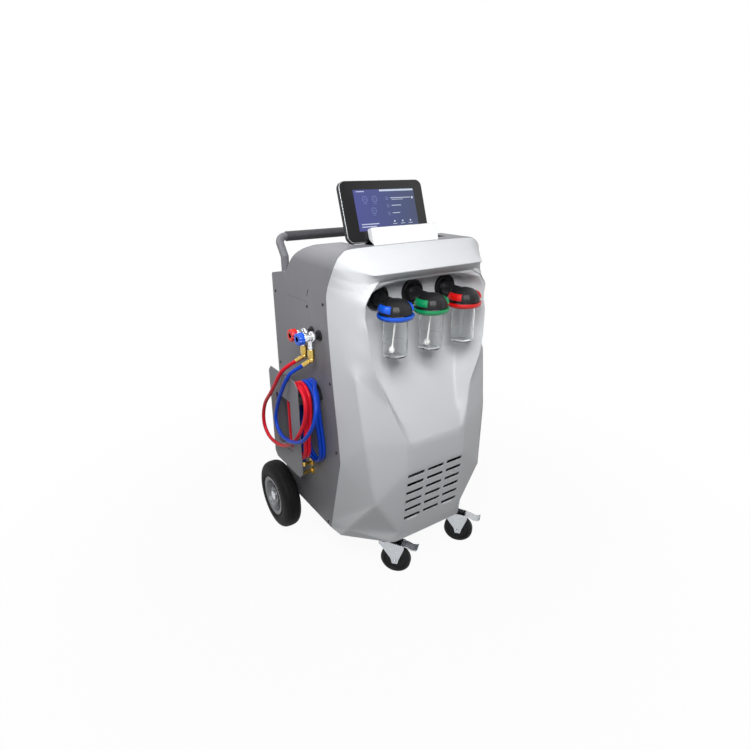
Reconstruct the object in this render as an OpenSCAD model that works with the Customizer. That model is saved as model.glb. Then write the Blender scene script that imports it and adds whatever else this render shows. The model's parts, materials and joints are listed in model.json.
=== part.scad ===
// Air conditioning service station: a wheeled cabinet that recovers, weighs and refills refrigerant.
// Millimetres. The front faces -Y, the floor is z = 0 and x = 0 is the middle plane.
// Heights and depths below are measured from the line where the casters touch the floor.

/* [Cabinet] */
// Half width over the side sheets
body_half_w = 265; // [255:1:275]
// Height of the skirt's lower edge
skirt_z = 130; // [128:1:136]
// Height of the hood's crown
hood_top_z = 1052; // [1048:1:1060]
// Depth of the rear panel's outer face
body_rear_y = 508; // [504:1:530]
// Thickness of the sheet metal
sheet = 2.5; // [1.5:0.5:3]
// Wall of the moulded front shell
shell_wall = 4; // [3:0.5:5]
// Gap between neighbouring covers
seam = 0.6; // [0.3:0.1:0.9]
// Radius of the hood's top corners
hood_corner_r = 57; // [45:1:60]
// Radius of the hood's falling rear curve
hood_fall_r = 229; // [215:1:235]
// Depth at which the hood starts to fall
hood_fall_y = 204; // [200:1:215]
// Height of the hood's lower rear edge
hood_seam_z = 881; // [870:1:890]
// Depth of the upright seam between hood and rear sheets
hood_seam_y = 253; // [250:1:258]

/* [Bottle bay] */
// Depth of the bay's back wall
bay_back_y = 100; // [90:1:110]
// Spacing of the three bottles
bottle_pitch = 126; // [118:1:130]
// Depth of the bottles' axis
bottle_y = 7; // [2:1:12]
// Underside of the coloured collar
collar_z = 865; // [855:1:870]
// Diameter of the collar
collar_d = 105; // [96:1:110]
// Height of the collar
collar_h = 15; // [10:1:18]
// Outside diameter of the jar
jar_d = 70; // [60:1:74]
// Length of the jar below the collar
jar_l = 107; // [90:1:120]
// Height of the coupling on the bay's back wall
dock_z = 908; // [904:1:912]
// Diameter of the wall coupling's flange
dock_d = 76; // [66:1:80]
// Diameter of the wall coupling's plug
plug_d = 16; // [12:1:20]

/* [Tool tray] */
// Half width of the tray's opening
tray_half_w = 165; // [150:1:175]
// Height of the tray's floor
tray_floor_z = 985; // [975:1:1000]
// Depth of the tray's front wall
tray_front_y = 146; // [142:1:160]

/* [Tablet] */
// Width of the tablet
tablet_w = 281; // [260:1:290]
// Height of the tablet
tablet_h = 164; // [150:1:175]
// Thickness of the tablet
tablet_t = 18; // [12:1:20]
// Sideways place of the tablet's middle
tablet_x = -59; // [-75:1:-45]
// Lean of the tablet
tablet_lean = 18; // [12:1:22]
// Sideways place of the holder's middle
holder_x = -22; // [-40:1:-10]
// Width of the holder
holder_w = 228; // [210:1:240]
// Height of the holder's front lip
lip_h = 34; // [28:1:40]
// Depth of the holder's front lip
lip_t = 24; // [16:1:26]

/* [Handle] */
// Diameter of the handle tube
handle_d = 26; // [22:1:28]
// Distance of the handle's posts in from the cabinet's sides
handle_inset = 37; // [32:1:60]
// Radius of the handle's corners
handle_bend_r = 26; // [20:1:45]
// Depth of the posts
handle_y = 478; // [470:1:484]
// Height at which the posts lean back
handle_knee_z = 985; // [970:1:995]
// Length of the leaning arms
handle_arm = 72; // [66:1:80]
// Lean of the arms
handle_lean = 37; // [30:1:42]
// Wall of the soft grip
grip_wall = 3; // [2:0.5:4]
// Distance from the handle's corners to the ends of the grip
grip_margin = 2; // [1:1:40]

/* [Rear wheels] */
// Diameter of the rear wheels
wheel_d = 250; // [240:1:260]
// Width of the tyre
tyre_w = 66; // [56:1:68]
// Gap between the side sheet and the tyre
wheel_gap = 18; // [16:1:24]
// Distance from the caster line to the rear axle
wheelbase = 463; // [455:1:470]
// Diameter of the rim
rim_d = 128; // [120:1:150]
// Diameter of the axle
axle_d = 20; // [16:1:22]

/* [Casters] */
// Diameter of the caster wheels
caster_d = 100; // [96:1:104]
// Width of the caster wheels
caster_w = 30; // [26:1:34]
// Sideways place of the swivel axes
caster_x = 138; // [132:1:142]
// Depth of the swivel axes
caster_y = 34; // [30:1:42]
// Offset from the swivel axis to the wheel's axle
caster_trail = 34; // [30:1:38]
// Turn of the casters at rest
caster_turn = -50; // [-60:1:-40]

/* [Service hoses] */
// Outside diameter of the hoses
hose_d = 12; // [10:0.5:12]
// Depth of the couplers' mid point
coupler_y = 215; // [212:1:220]
// Distance between the two couplers
coupler_pitch = 46; // [44:1:52]
// Height of the couplers
coupler_z = 796; // [785:1:805]
// Distance from the side sheet to the hanger plate
hanger_gap = 78; // [76:1:90]
// Depth of the hanger's saddle
saddle_y = 234; // [232:1:240]
// Height of the hanger's saddle
saddle_z = 592; // [585:1:600]

/* [Hidden] */

$fn = 64;
eps = 0.1;
// Clearance between pieces that touch at rest
rest_gap = 0.3;
// Radial clearance of a turning fit
turn_gap = 0.05;

sheet_grey = [0.46, 0.46, 0.48];
shell_grey = [0.80, 0.81, 0.82];
black = [0.08, 0.08, 0.09];
zinc = [0.72, 0.74, 0.76];
steel = [0.55, 0.56, 0.58];
chrome = [0.85, 0.86, 0.88];
white = [0.93, 0.93, 0.93];
hose_blue = [0.05, 0.26, 0.75];
hose_red = [0.82, 0.07, 0.14];
bottle_green = [0.05, 0.58, 0.34];

// The footprint runs from the caster pedals, or the shell's belly, to the back of the rear wheels
belly_y = -44;
leg_in = caster_w / 2 + 1.5;
pedal_half_w = leg_in - 0.5;
pedal_x = caster_trail + 24;
pedal_l = 50;
pedal_front_y = caster_y + (pedal_x + pedal_l) * sin(caster_turn) - pedal_half_w * cos(caster_turn);
wheel_back_y = wheelbase + wheel_d / 2;
origin_y = (min(belly_y, pedal_front_y) + wheel_back_y) / 2;
sheet_x = body_half_w - sheet;

module from_caster_line() {
    translate([0, -origin_y, 0]) children();
}

module both_sides() {
    children();
    mirror([1, 0, 0]) children();
}

// A profile drawn in depth and height, drawn out sideways from x0 to x1
module across(x0, x1) {
    translate([x0, 0, 0]) rotate([90, 0, 90]) linear_extrude(x1 - x0) children();
}

// A cylinder lying along X from x0 to x1
module bar_x(x0, x1, d, y, z) {
    translate([x0, y, z]) rotate([0, 90, 0]) cylinder(h = x1 - x0, d = d);
}

// A cylinder lying along Y from y0 to y1
module bar_y(y0, y1, d, x, z) {
    translate([x, y0, z]) rotate([-90, 0, 0]) cylinder(h = y1 - y0, d = d);
}

// Turns +Z into the direction v
module along(v) {
    rotate([0, acos(v[2] / norm(v)), atan2(v[1], v[0])]) children();
}

// Front shell
// Each row runs from the middle plane to the edge at the side sheet, and the rows climb from the
// skirt past the vents, the scoop, the bottle bay, its lip and the visor to the top edge.
// In each row: middle, floor edge, rim of the scoop, crease of the pillar, edge.
scoop_z = 488;
star_z = 306;
lip_z = 966;
bend_z = 991;
top_corner_x = body_half_w - hood_corner_r;
// A point on the hood's rounded corner, at an angle from the crown and a depth
function on_corner(angle, y) =
    [top_corner_x + hood_corner_r * sin(angle), y, hood_top_z - hood_corner_r * (1 - cos(angle))];
shell_rows = [
    [[0, -10, skirt_z], [100, -10, skirt_z], [138, -10, skirt_z],
     [body_half_w - 6, 119, skirt_z], [body_half_w, 172, skirt_z]],
    [[0, -17, 166], [100, -17, 166], [122, -17, 166], [body_half_w - 16, 92, 166], [body_half_w, 162, 166]],
    [[0, belly_y, 398], [100, belly_y, 398], [114, belly_y + 1, 398],
     [body_half_w - 55, -15, star_z], [body_half_w, 95, 412]],
    [[0, -41, scoop_z], [100, -41, scoop_z], [114, -40, scoop_z + 2],
     [body_half_w - 31, 2, 512], [body_half_w, 105, 520]],
    [[0, 4, 556], [112, 3, 556], [134, -24, 552], [body_half_w - 29, 10, 566], [body_half_w, 112, 566]],
    [[0, 36, 612], [128, 34, 612], [152, -9, 610], [body_half_w - 26, 18, 626], [body_half_w, 119, 622]],
    [[0, bay_back_y - 14, 712], [166, bay_back_y - 17, 712], [198, -5, 712],
     [body_half_w - 21, 32, 719], [body_half_w, 130, 719]],
    [[0, bay_back_y - 1, 778], [182, bay_back_y - 2, 778], [211, 2, 778],
     [body_half_w - 17, 42, 783], [body_half_w, 136, 783]],
    [[0, bay_back_y, 850], [192, bay_back_y, 850], [218, 8, 850],
     [body_half_w - 13, 54, 860], [body_half_w, 142, 860]],
    [[0, bay_back_y, 926], [192, bay_back_y, 926], [214, 14, 912],
     [body_half_w - 25, 46, 904], [body_half_w, 143, 920]],
    [[0, bay_back_y, 956], [168, bay_back_y, 956], [195, 8, 946],
     [body_half_w - 49, 28, 938], [body_half_w, 130, 952]],
    [[0, 2, lip_z], [145, 2, lip_z], [164, 2, lip_z], [192, 8, lip_z + 4], [body_half_w, 112, 980]],
    [[0, -4, bend_z], [145, -4, bend_z], [170, -3, bend_z], [191, 2, bend_z - 2],
     on_corner(80, 97)],
    [[0, 42, 1025], [145, 42, 1025], [172, 42, 1025], [200, 44, 1021], on_corner(56, 92)],
    [[0, 92, hood_top_z], [145, 92, hood_top_z], [176, 92, hood_top_z],
     [top_corner_x, 92, hood_top_z], on_corner(27, 92)],
];
edge_col = len(shell_rows[0]) - 1;
// Row in which the creases meet
star_row = 2;
// Each facet of the shell is cut into this many strips each way
facet_cuts = 3;
skin_rows = (len(shell_rows) - 1) * facet_cuts;
skin_half = edge_col * facet_cuts;
skin_cols = 2 * skin_half;

// A point of one facet, bent along a diagonal so that four creases meet low on each pillar
function facet_point(a, b, d, e, u, v, rising) =
    rising
        ? (u > v ? a + u * (b - a) + v * (e - b) : a + v * (d - a) + u * (e - d))
        : (u + v < 1 ? a + u * (b - a) + v * (d - a) : e + (1 - u) * (d - e) + (1 - v) * (b - e));

// Which way the bend of the facet in row r and column c runs
function rises(r, c) = c < edge_col - 1 || r > star_row;

function half_point(i, j) =
    let (r = min(floor(i / facet_cuts), len(shell_rows) - 2))
    let (c = min(floor(j / facet_cuts), edge_col - 1))
    facet_point(shell_rows[r][c], shell_rows[r][c + 1], shell_rows[r + 1][c], shell_rows[r + 1][c + 1],
                j / facet_cuts - c, i / facet_cuts - r, rises(r, c));

function sided(p, s) = [p[0] * s, p[1], p[2]];
function unit(v) = v / norm(v);

skin = [for (i = [0 : skin_rows])
    [for (j = [-skin_half : skin_half]) sided(half_point(i, abs(j)), j < 0 ? -1 : 1)]];

// Outward direction at a point of the skin, held flat at the edges so that they butt squarely
function skin_normal(i, j) =
    let (up = skin[min(i + 1, skin_rows)][j] - skin[max(i - 1, 0)][j])
    let (over = skin[i][min(j + 1, skin_cols)] - skin[i][max(j - 1, 0)])
    let (n = cross(over, up))
    let (side = j == 0 ? -1 : j == skin_cols ? 1 : 0)
    let (flank = side == 0 ? [0, 0, 0] : side * unit([up[2], 0, -up[0]]))
    let (crest = unit([-over[2], 0, over[0]]))
    i == skin_rows ? unit(crest + flank)
        : side != 0 ? (i == 0 ? [side, 0, 0] : flank)
        : i == 0 ? unit([n[0], n[1], 0]) : unit(n);

function skin_back(i, j) = skin[i][j] - shell_wall * skin_normal(i, j);

module shell_skin() {
    wide = skin_cols + 1;
    count = (skin_rows + 1) * wide;
    points = concat([for (row = skin) for (p = row) p],
                    [for (i = [0 : skin_rows]) for (j = [0 : skin_cols]) skin_back(i, j)]);
    face = [for (i = [0 : skin_rows - 1]) for (j = [0 : skin_cols - 1])
        let (p = i * wide + j)
        let (right = j >= skin_half)
        let (c = floor((right ? j - skin_half : skin_half - 1 - j) / facet_cuts))
        each rises(floor(i / facet_cuts), c) == right
            ? [[p, p + wide, p + wide + 1], [p, p + wide + 1, p + 1]]
            : [[p, p + wide, p + 1], [p + 1, p + wide, p + wide + 1]]];
    back = [for (t = face) [t[2] + count, t[1] + count, t[0] + count]];
    top = skin_rows * wide;
    low_edge = [for (j = [0 : skin_cols - 1]) each [[j, j + 1, j + 1 + count], [j, j + 1 + count, j + count]]];
    top_edge = [for (j = [top : top + skin_cols - 1])
        each [[j + 1, j, j + count], [j + 1, j + count, j + 1 + count]]];
    left_edge = [for (i = [0 : skin_rows - 1])
        let (p = i * wide, q = p + wide)
        each [[q, p, p + count], [q, p + count, q + count]]];
    right_edge = [for (i = [0 : skin_rows - 1])
        let (p = i * wide + skin_cols, q = p + wide)
        each [[p, q, q + count], [p, q + count, p + count]]];
    polyhedron(points, concat(face, back, low_edge, top_edge, left_edge, right_edge));
}

vent_rows = 6;
vent_cols = 3;
vent_half_w = 109;
vent_gap = 12;
vent_h = 13;
vent_low_z = 217;
vent_pitch = 32.4;

module vent_slots() {
    slot_w = (2 * vent_half_w - (vent_cols - 1) * vent_gap) / vent_cols;
    for (row = [0 : vent_rows - 1], col = [0 : vent_cols - 1])
        translate([-vent_half_w + col * (slot_w + vent_gap), belly_y - 10, vent_low_z + row * vent_pitch - vent_h / 2])
            cube([slot_w, -belly_y + 20, vent_h]);
}

module front_shell() {
    color(shell_grey) from_caster_line() difference() {
        shell_skin();
        vent_slots();
        for (x = bottle_xs) bar_y(bay_back_y - 10, bay_back_y + shell_wall + 10, plug_d, x, dock_z);
    }
}

// Hood: one sheet over both sides and the top, falling in a curve at the rear
notch_z = 938;
fall_z = hood_top_z - hood_fall_r;
notch_angle = acos((notch_z - fall_z) / hood_fall_r);
notch_y = hood_fall_y + hood_fall_r * sin(notch_angle);
shell_edge = [for (row = shell_rows) [row[edge_col][1], row[edge_col][2]]];

function hood_profile(inset) = concat(
    [for (p = shell_edge) [p[0] + seam - (inset > 0 ? 40 : 0), p[1]]],
    [[shell_edge[len(shell_edge) - 1][0] + seam - (inset > 0 ? 40 : 0), hood_top_z - inset]],
    [for (k = [0 : 12]) let (a = notch_angle * k / 12)
        [hood_fall_y + (hood_fall_r - inset) * sin(a), fall_z + (hood_fall_r - inset) * cos(a)]],
    [[notch_y - 12 - inset, hood_seam_z - (inset > 0 ? 40 : 0)],
     [hood_seam_y + (inset > 0 ? 40 : 0), hood_seam_z - (inset > 0 ? 40 : 0)],
     [hood_seam_y + (inset > 0 ? 40 : 0), skirt_z - (inset > 0 ? 10 : 0)]]);

// Front view of the hood: flat sides and rounded top corners
module hood_section(inset) {
    half = body_half_w - inset;
    r = hood_corner_r - inset;
    low = skirt_z - 20;
    translate([-half, low]) square([2 * half, hood_top_z - hood_corner_r - low]);
    translate([-half + r, low]) square([2 * (half - r), hood_top_z - inset - low]);
    for (s = [-1, 1]) translate([s * (half - r), hood_top_z - hood_corner_r]) circle(r = r);
}

module hood_form(inset) {
    intersection() {
        translate([0, body_rear_y, 0]) rotate([90, 0, 0]) linear_extrude(body_rear_y + 50) hood_section(inset);
        across(-body_half_w - 10, body_half_w + 10) polygon(hood_profile(inset));
    }
}

module tray_block(grow, lift) {
    translate([-tray_half_w - grow, tray_front_y - grow, tray_floor_z - grow])
        cube([2 * (tray_half_w + grow), 300, hood_top_z - tray_floor_z + lift]);
}

module hood() {
    color(sheet_grey) from_caster_line() difference() {
        hood_form(0);
        hood_form(sheet);
        tray_block(sheet + rest_gap, 20);
        for (y = coupler_ys) bar_x(-body_half_w - 10, -sheet_x + 10, park_d, y, coupler_z);
        // slanted hand slot on the left
        translate([-body_half_w - 1, 262, 897]) rotate([30, 0, 0]) cube([sheet + 2, 4, 26]);
    }
}

module tool_tray() {
    color(black) from_caster_line() difference() {
        intersection() {
            tray_block(sheet, 20);
            across(-body_half_w, body_half_w) polygon(hood_profile(0));
        }
        tray_block(0, 30);
    }
}

// Rear sheets close the sides behind the hood's upright seam
deck_front_z = 951;
deck_rear_z = 934;
module rear_sheet() {
    difference() {
        across(-body_half_w, -sheet_x) polygon([
            [hood_seam_y + seam, skirt_z], [hood_seam_y + seam, hood_seam_z - seam],
            [notch_y - 12 + seam, hood_seam_z - seam], [notch_y + seam, notch_z],
            [notch_y + 8, deck_front_z], [body_rear_y - 4, deck_rear_z], [body_rear_y, deck_rear_z - 6],
            [body_rear_y, skirt_z]]);
        // notch over the axle
        bar_x(-body_half_w - 1, -sheet_x + 1, axle_d + 4, wheelbase, wheel_d / 2);
    }
}

module left_rear_sheet() {
    color(sheet_grey) from_caster_line() rear_sheet();
}

module right_rear_sheet() {
    color(sheet_grey) from_caster_line() mirror([1, 0, 0]) rear_sheet();
}

louvre_w = 150;
louvre_h = 7;
louvre_pitch = 22;
inlet_x = -170;
inlet_z = 210;
inlet_w = 60;
inlet_h = 34;

module rear_panel() {
    half = sheet_x - rest_gap;
    color(sheet_grey) from_caster_line() difference() {
        translate([-half, body_rear_y - sheet, skirt_z])
            cube([2 * half, sheet, deck_rear_z - sheet - 6 - skirt_z]);
        for (s = [-1, 1], k = [0 : 7])
            translate([s * 100 - louvre_w / 2, body_rear_y - 10, 560 + k * louvre_pitch])
                cube([louvre_w, 20, louvre_h]);
        translate([inlet_x - inlet_w / 2, body_rear_y - 10, inlet_z - inlet_h / 2])
            cube([inlet_w, 20, inlet_h]);
    }
}

module rear_deck() {
    half = sheet_x - rest_gap;
    color(sheet_grey) from_caster_line() difference() {
        across(-half, half) polygon([
            [notch_y + seam, notch_z], [notch_y + 8, deck_front_z], [body_rear_y - 3, deck_rear_z],
            [body_rear_y, deck_rear_z - 6], [body_rear_y - sheet, deck_rear_z - 6],
            [body_rear_y - 5, deck_rear_z - sheet], [notch_y + 9, deck_front_z - sheet],
            [notch_y + seam + sheet, notch_z]]);
        both_sides() translate([handle_half_w, handle_y, deck_rear_z - 60])
            cylinder(h = 100, d = handle_d + 2 * rest_gap);
    }
}

// Base tray: a pressed pan with lugs for the axle below it
pan_z = 140;
pan_floor = 3;
pan_rim_h = 28;
lug_x = 222;
lug_t = 8;

function pan_outline(inset) =
    let (half = sheet_x - rest_gap - inset, front = -4 + inset, rear = body_rear_y - sheet - rest_gap - inset)
    [[-half, rear], [-half, 180], [-half + 16, 118 + inset / 2], [-124 + inset / 2, front],
     [124 - inset / 2, front], [half - 16, 118 + inset / 2], [half, 180], [half, rear]];

module base_tray() {
    color(steel) from_caster_line() {
        difference() {
            translate([0, 0, pan_z]) linear_extrude(pan_rim_h) polygon(pan_outline(0));
            translate([0, 0, pan_z + pan_floor]) linear_extrude(pan_rim_h) polygon(pan_outline(pan_floor));
        }
        both_sides() difference() {
            translate([lug_x, wheelbase - 30, wheel_d / 2 - 22]) cube([lug_t, 60, pan_z + eps - wheel_d / 2 + 22]);
            bar_x(lug_x - 1, lug_x + lug_t + 1, axle_d + 2 * turn_gap, wheelbase, wheel_d / 2);
        }
    }
}

// Rear axle and wheels
wheel_x = body_half_w + wheel_gap + tyre_w / 2;
hub_out = wheel_x + 24;
hub_in = body_half_w + 12;
axle_end = hub_out + 1;
cap_d = 34;
cap_t = 5;

module rear_axle() {
    color(steel) from_caster_line() {
        bar_x(-axle_end, axle_end, axle_d, wheelbase, wheel_d / 2);
        // collars that keep each wheel off the side sheet
        both_sides() bar_x(hub_in - 8, hub_in - rest_gap, axle_d + 10, wheelbase, wheel_d / 2);
    }
}

module axle_caps() {
    color(zinc) from_caster_line() both_sides() difference() {
        bar_x(hub_out + rest_gap, hub_out + rest_gap + cap_t, cap_d, wheelbase, wheel_d / 2);
        bar_x(hub_out - 1, axle_end, axle_d, wheelbase, wheel_d / 2);
    }
}

// Revolves a profile of radius and width about the rear axle
module on_rear_axle() {
    translate([wheel_x, wheelbase, wheel_d / 2]) rotate([0, 90, 0]) rotate_extrude() children();
}

module tyre() {
    r = wheel_d / 2;
    rim = rim_d / 2;
    half = tyre_w / 2;
    from_caster_line() on_rear_axle() polygon([
        [rim, -half + 12], [rim + 14, -half + 3], [rim + 28, -half], [r - 10, -half + 5], [r - 3, -half + 13],
        [r, -half + 24], [r, half - 24], [r - 3, half - 13], [r - 10, half - 5], [rim + 28, half],
        [rim + 14, half - 3], [rim, half - 12]]);
}

rim_hole_d = 12;
module rim() {
    edge = rim_d / 2;
    half = tyre_w / 2 - 10;
    bore = axle_d / 2 + turn_gap;
    hub_r = axle_d / 2 + 14;
    from_caster_line() difference() {
        union() {
            on_rear_axle() polygon([
                [edge - 5, -half - 6], [edge + 8, -half - 8], [edge + 8, -half - 4], [edge, -half + 1.6],
                [edge, half - 1.6], [edge + 8, half + 4], [edge + 8, half + 8], [edge - 5, half + 6],
                [edge - 14, 8], [hub_r + 6, 2], [hub_r + 6, -4], [edge - 14, 2]]);
            bar_x(hub_in, hub_out, 2 * hub_r + 14, wheelbase, wheel_d / 2);
        }
        bar_x(hub_in - 1, hub_out + 1, 2 * bore, wheelbase, wheel_d / 2);
        for (k = [0 : 4]) translate([wheel_x, wheelbase, wheel_d / 2]) rotate([72 * k, 0, 0])
            bar_x(-30, 30, rim_hole_d, 0, (edge - 14 + hub_r + 8) / 2);
    }
}

module left_tyre() { color(black) mirror([1, 0, 0]) tyre(); }
module left_rim() { color(zinc) mirror([1, 0, 0]) rim(); }
module right_tyre() { color(black) tyre(); }
module right_rim() { color(zinc) rim(); }

// Casters: each fork turns on a pin below its mount, and its wheel trails behind the pin
mount_z = 128;
mount_d = 40;
race_d = 46;
race_h = 5;
pin_d = 12;
fork_top_z = mount_z - race_h - rest_gap;
fork_low_z = caster_d + 5;
leg_t = 3;
caster_axle_d = 10;
pedal_z = 106;
pedal_pin_d = 6;

module caster_place(side) {
    translate([side * caster_x, caster_y, 0]) rotate([0, 0, caster_turn]) children();
}

module caster_mounts() {
    color(zinc) from_caster_line() for (side = [-1, 1]) caster_place(side) {
        translate([0, 0, mount_z - eps]) cylinder(h = pan_z - mount_z + eps, d = mount_d);
        translate([0, 0, mount_z - race_h]) cylinder(h = race_h + eps, d = race_d);
        translate([0, 0, fork_low_z]) cylinder(h = mount_z - fork_low_z, d = pin_d);
    }
}

module caster_leg() {
    polygon([[-race_d / 2 + 4, fork_low_z + 6], [-race_d / 2 + 4, fork_top_z - 4], [race_d / 2 - 4, fork_top_z - 4],
             [pedal_x + 6, pedal_z + 6], [pedal_x + 6, pedal_z - 6], [caster_trail + 13, caster_d / 2 + 6],
             [caster_trail + 9, caster_d / 2 - 11], [caster_trail - 9, caster_d / 2 - 11],
             [caster_trail - 14, caster_d / 2 + 8]]);
}

module caster_fork(side) {
    color(zinc) from_caster_line() caster_place(side) {
        difference() {
            union() {
                translate([0, 0, fork_low_z]) cylinder(h = fork_top_z - fork_low_z, d = race_d + 4);
                for (y0 = [-leg_in - leg_t, leg_in])
                    translate([0, y0 + leg_t, 0]) rotate([90, 0, 0]) linear_extrude(leg_t) caster_leg();
            }
            translate([0, 0, fork_low_z - 1]) cylinder(h = 40, d = pin_d + 2 * turn_gap);
        }
        bar_y(-leg_in - leg_t - 4, leg_in + leg_t + 4, caster_axle_d, caster_trail, caster_d / 2);
        bar_y(-leg_in - eps, leg_in + eps, pedal_pin_d, pedal_x, pedal_z);
    }
}

module caster_wheel(side) {
    r = caster_d / 2;
    half = caster_w / 2;
    color(black) from_caster_line() caster_place(side) translate([caster_trail, 0, r]) rotate([90, 0, 0])
        rotate_extrude() polygon([
            [caster_axle_d / 2 + turn_gap, -half], [r * 0.36, -half], [r * 0.42, -half + 5], [r * 0.68, -half + 5],
            [r * 0.74, -half], [r - 6, -half], [r, -half + 7], [r, half - 7], [r - 6, half], [r * 0.74, half],
            [r * 0.68, half - 5], [r * 0.42, half - 5], [r * 0.36, half], [caster_axle_d / 2 + turn_gap, half]]);
}

module caster_pedal(side) {
    barrel_d = pedal_pin_d + 5;
    half = pedal_half_w;
    color(zinc) from_caster_line() caster_place(side) difference() {
        union() {
            bar_y(-half, half, barrel_d, pedal_x, pedal_z);
            translate([0, half, 0]) rotate([90, 0, 0]) linear_extrude(2 * half) polygon([
                [pedal_x, pedal_z + 5.5], [pedal_x + 14, pedal_z + 5], [pedal_x + 32, pedal_z - 3],
                [pedal_x + pedal_l - 6, pedal_z - 2], [pedal_x + pedal_l, pedal_z + 2],
                [pedal_x + pedal_l, pedal_z - 1], [pedal_x + pedal_l - 5, pedal_z - 6],
                [pedal_x + 30, pedal_z - 7], [pedal_x + 12, pedal_z + 1]]);
        }
        bar_y(-half - 1, half + 1, pedal_pin_d + 2 * turn_gap, pedal_x, pedal_z);
    }
}

module left_caster_fork() { caster_fork(-1); }
module left_caster_wheel() { caster_wheel(-1); }
module left_caster_pedal() { caster_pedal(-1); }
module right_caster_fork() { caster_fork(1); }
module right_caster_wheel() { caster_wheel(1); }
module right_caster_pedal() { caster_pedal(1); }

// Round heads of the screws that hold the side sheets, as depth and height
screw_d = 9;
screw_h = 2;
screw_places = [[164, 893], [140, 660], [117, 440], [190, 143], [hood_seam_y + 10, 868],
                [body_rear_y - 22, 876], [body_rear_y - 18, 625], [body_rear_y - 18, 300]];

module panel_screws() {
    color(black) from_caster_line() both_sides()
        for (p = screw_places) bar_x(body_half_w, body_half_w + screw_h, screw_d, p[0], p[1]);
}

// Push handle: posts through the deck, arms leaning back and a cross bar
handle_half_w = body_half_w - handle_inset;
grip_l = 2 * (handle_half_w - handle_bend_r - grip_margin);
handle_foot_z = pan_z + 640;

module handle_frame() {
    translate([0, handle_y, handle_knee_z]) rotate([-handle_lean, 0, 0]) children();
}

module push_handle() {
    color(sheet_grey) from_caster_line() {
        both_sides() translate([handle_half_w, handle_y, handle_foot_z])
            cylinder(h = handle_knee_z - handle_foot_z, d = handle_d);
        both_sides() translate([handle_half_w, handle_y, handle_knee_z]) sphere(d = handle_d);
        // brackets between the posts and the rear panel
        both_sides() translate([handle_half_w - 20, handle_y, handle_foot_z + 10])
            cube([40, body_rear_y - sheet - handle_y, 60]);
        handle_frame() {
            both_sides() translate([handle_half_w, 0, 0])
                cylinder(h = handle_arm - handle_bend_r, d = handle_d);
            both_sides() translate([handle_half_w - handle_bend_r, 0, handle_arm - handle_bend_r])
                rotate([90, 0, 0]) rotate_extrude(angle = 90) translate([handle_bend_r, 0]) circle(d = handle_d);
            bar_x(-handle_half_w + handle_bend_r, handle_half_w - handle_bend_r, handle_d, 0, handle_arm);
        }
    }
}

module handle_grip() {
    color(black) from_caster_line() handle_frame() difference() {
        bar_x(-grip_l / 2, grip_l / 2, handle_d + 2 * grip_wall, 0, handle_arm);
        bar_x(-grip_l / 2 - 1, grip_l / 2 + 1, handle_d + 2 * turn_gap, 0, handle_arm);
    }
}

// Tablet in its holder on the ledge behind the shell's top edge
tablet_y = 119;
tablet_z = hood_top_z + 8;
holder_wall = 6;
holder_back_h = 70;

module tablet_frame() {
    translate([0, tablet_y, tablet_z]) rotate([-tablet_lean, 0, 0]) children();
}

module tablet_holder() {
    left = holder_x - holder_w / 2;
    slot = tablet_t + 2 * rest_gap;
    color(white) from_caster_line() intersection() {
        union() {
            tablet_frame() difference() {
                translate([left, -lip_t, -lip_t]) cube([holder_w, lip_t + slot + holder_wall, lip_t + lip_h]);
                translate([left - 200, -rest_gap, -rest_gap]) cube([holder_w + 400, slot, lip_h + 20]);
            }
            tablet_frame() translate([tablet_x - 60, slot - rest_gap, -lip_t])
                cube([120, holder_wall, lip_t + holder_back_h]);
        }
        translate([left - 50, 0, hood_top_z]) cube([holder_w + 100, 300, 200]);
    }
}

tablet_corner = 12;
module tablet() {
    half = tablet_w / 2;
    color(black) from_caster_line() tablet_frame() translate([tablet_x, tablet_t, tablet_h / 2]) rotate([90, 0, 0])
        linear_extrude(tablet_t) {
            square([tablet_w, tablet_h - 2 * tablet_corner], center = true);
            square([tablet_w - 2 * tablet_corner, tablet_h], center = true);
            for (sx = [-1, 1], sy = [-1, 1])
                translate([sx * (half - tablet_corner), sy * (tablet_h / 2 - tablet_corner)])
                    circle(r = tablet_corner);
        }
}

// Bottles for old oil, new oil and dye, each plugged onto a coupling on the bay's back wall
bottle_xs = [-bottle_pitch, 0, bottle_pitch];
collar_top_z = collar_z + collar_h;
cap_base_z = collar_top_z + rest_gap;
cap_r = collar_d / 2 - 6;
cap_h = 41;
dock_t = 10;
plug_l = 30;
neck_d = 24;
jar_wall = 3;
latch_w = 14;
latch_h = 16;
latch_travel = 3;
latch_z = cap_base_z + 10;
latch_reach = cap_r + 3;

module bottle_docks() {
    front = bay_back_y - rest_gap - dock_t;
    color(black) from_caster_line() for (x = bottle_xs) {
        bar_y(front, bay_back_y - rest_gap, dock_d, x, dock_z);
        bar_y(front - plug_l, front + eps, plug_d, x, dock_z);
        // tail through the wall into the valve block
        bar_y(bay_back_y - rest_gap - eps, bay_back_y + shell_wall + 1, plug_d - 1, x, dock_z);
    }
}

module jar(k) {
    r = jar_d / 2;
    low = collar_z - jar_l;
    from_caster_line() translate([bottle_xs[k], bottle_y, 0]) rotate_extrude() polygon([
        [0, low + 4], [r - 16, low], [r - 6, low], [r - 1.5, low + 2], [r, low + 8],
        [r, collar_z - 6], [r, cap_base_z - rest_gap], [r - jar_wall, cap_base_z - rest_gap],
        [r - jar_wall, low + 10], [r - 7, low + 5], [0, low + 8]]);
}

module collar(k) {
    r = collar_d / 2;
    from_caster_line() translate([bottle_xs[k], bottle_y, 0]) rotate_extrude() polygon([
        [jar_d / 2 + turn_gap, collar_z], [r - 10, collar_z], [r - 3, collar_z + 3], [r, collar_z + collar_h / 2],
        [r - 2, collar_top_z - 2], [r - 5, collar_top_z], [jar_d / 2 + turn_gap, collar_top_z]]);
}

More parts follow.
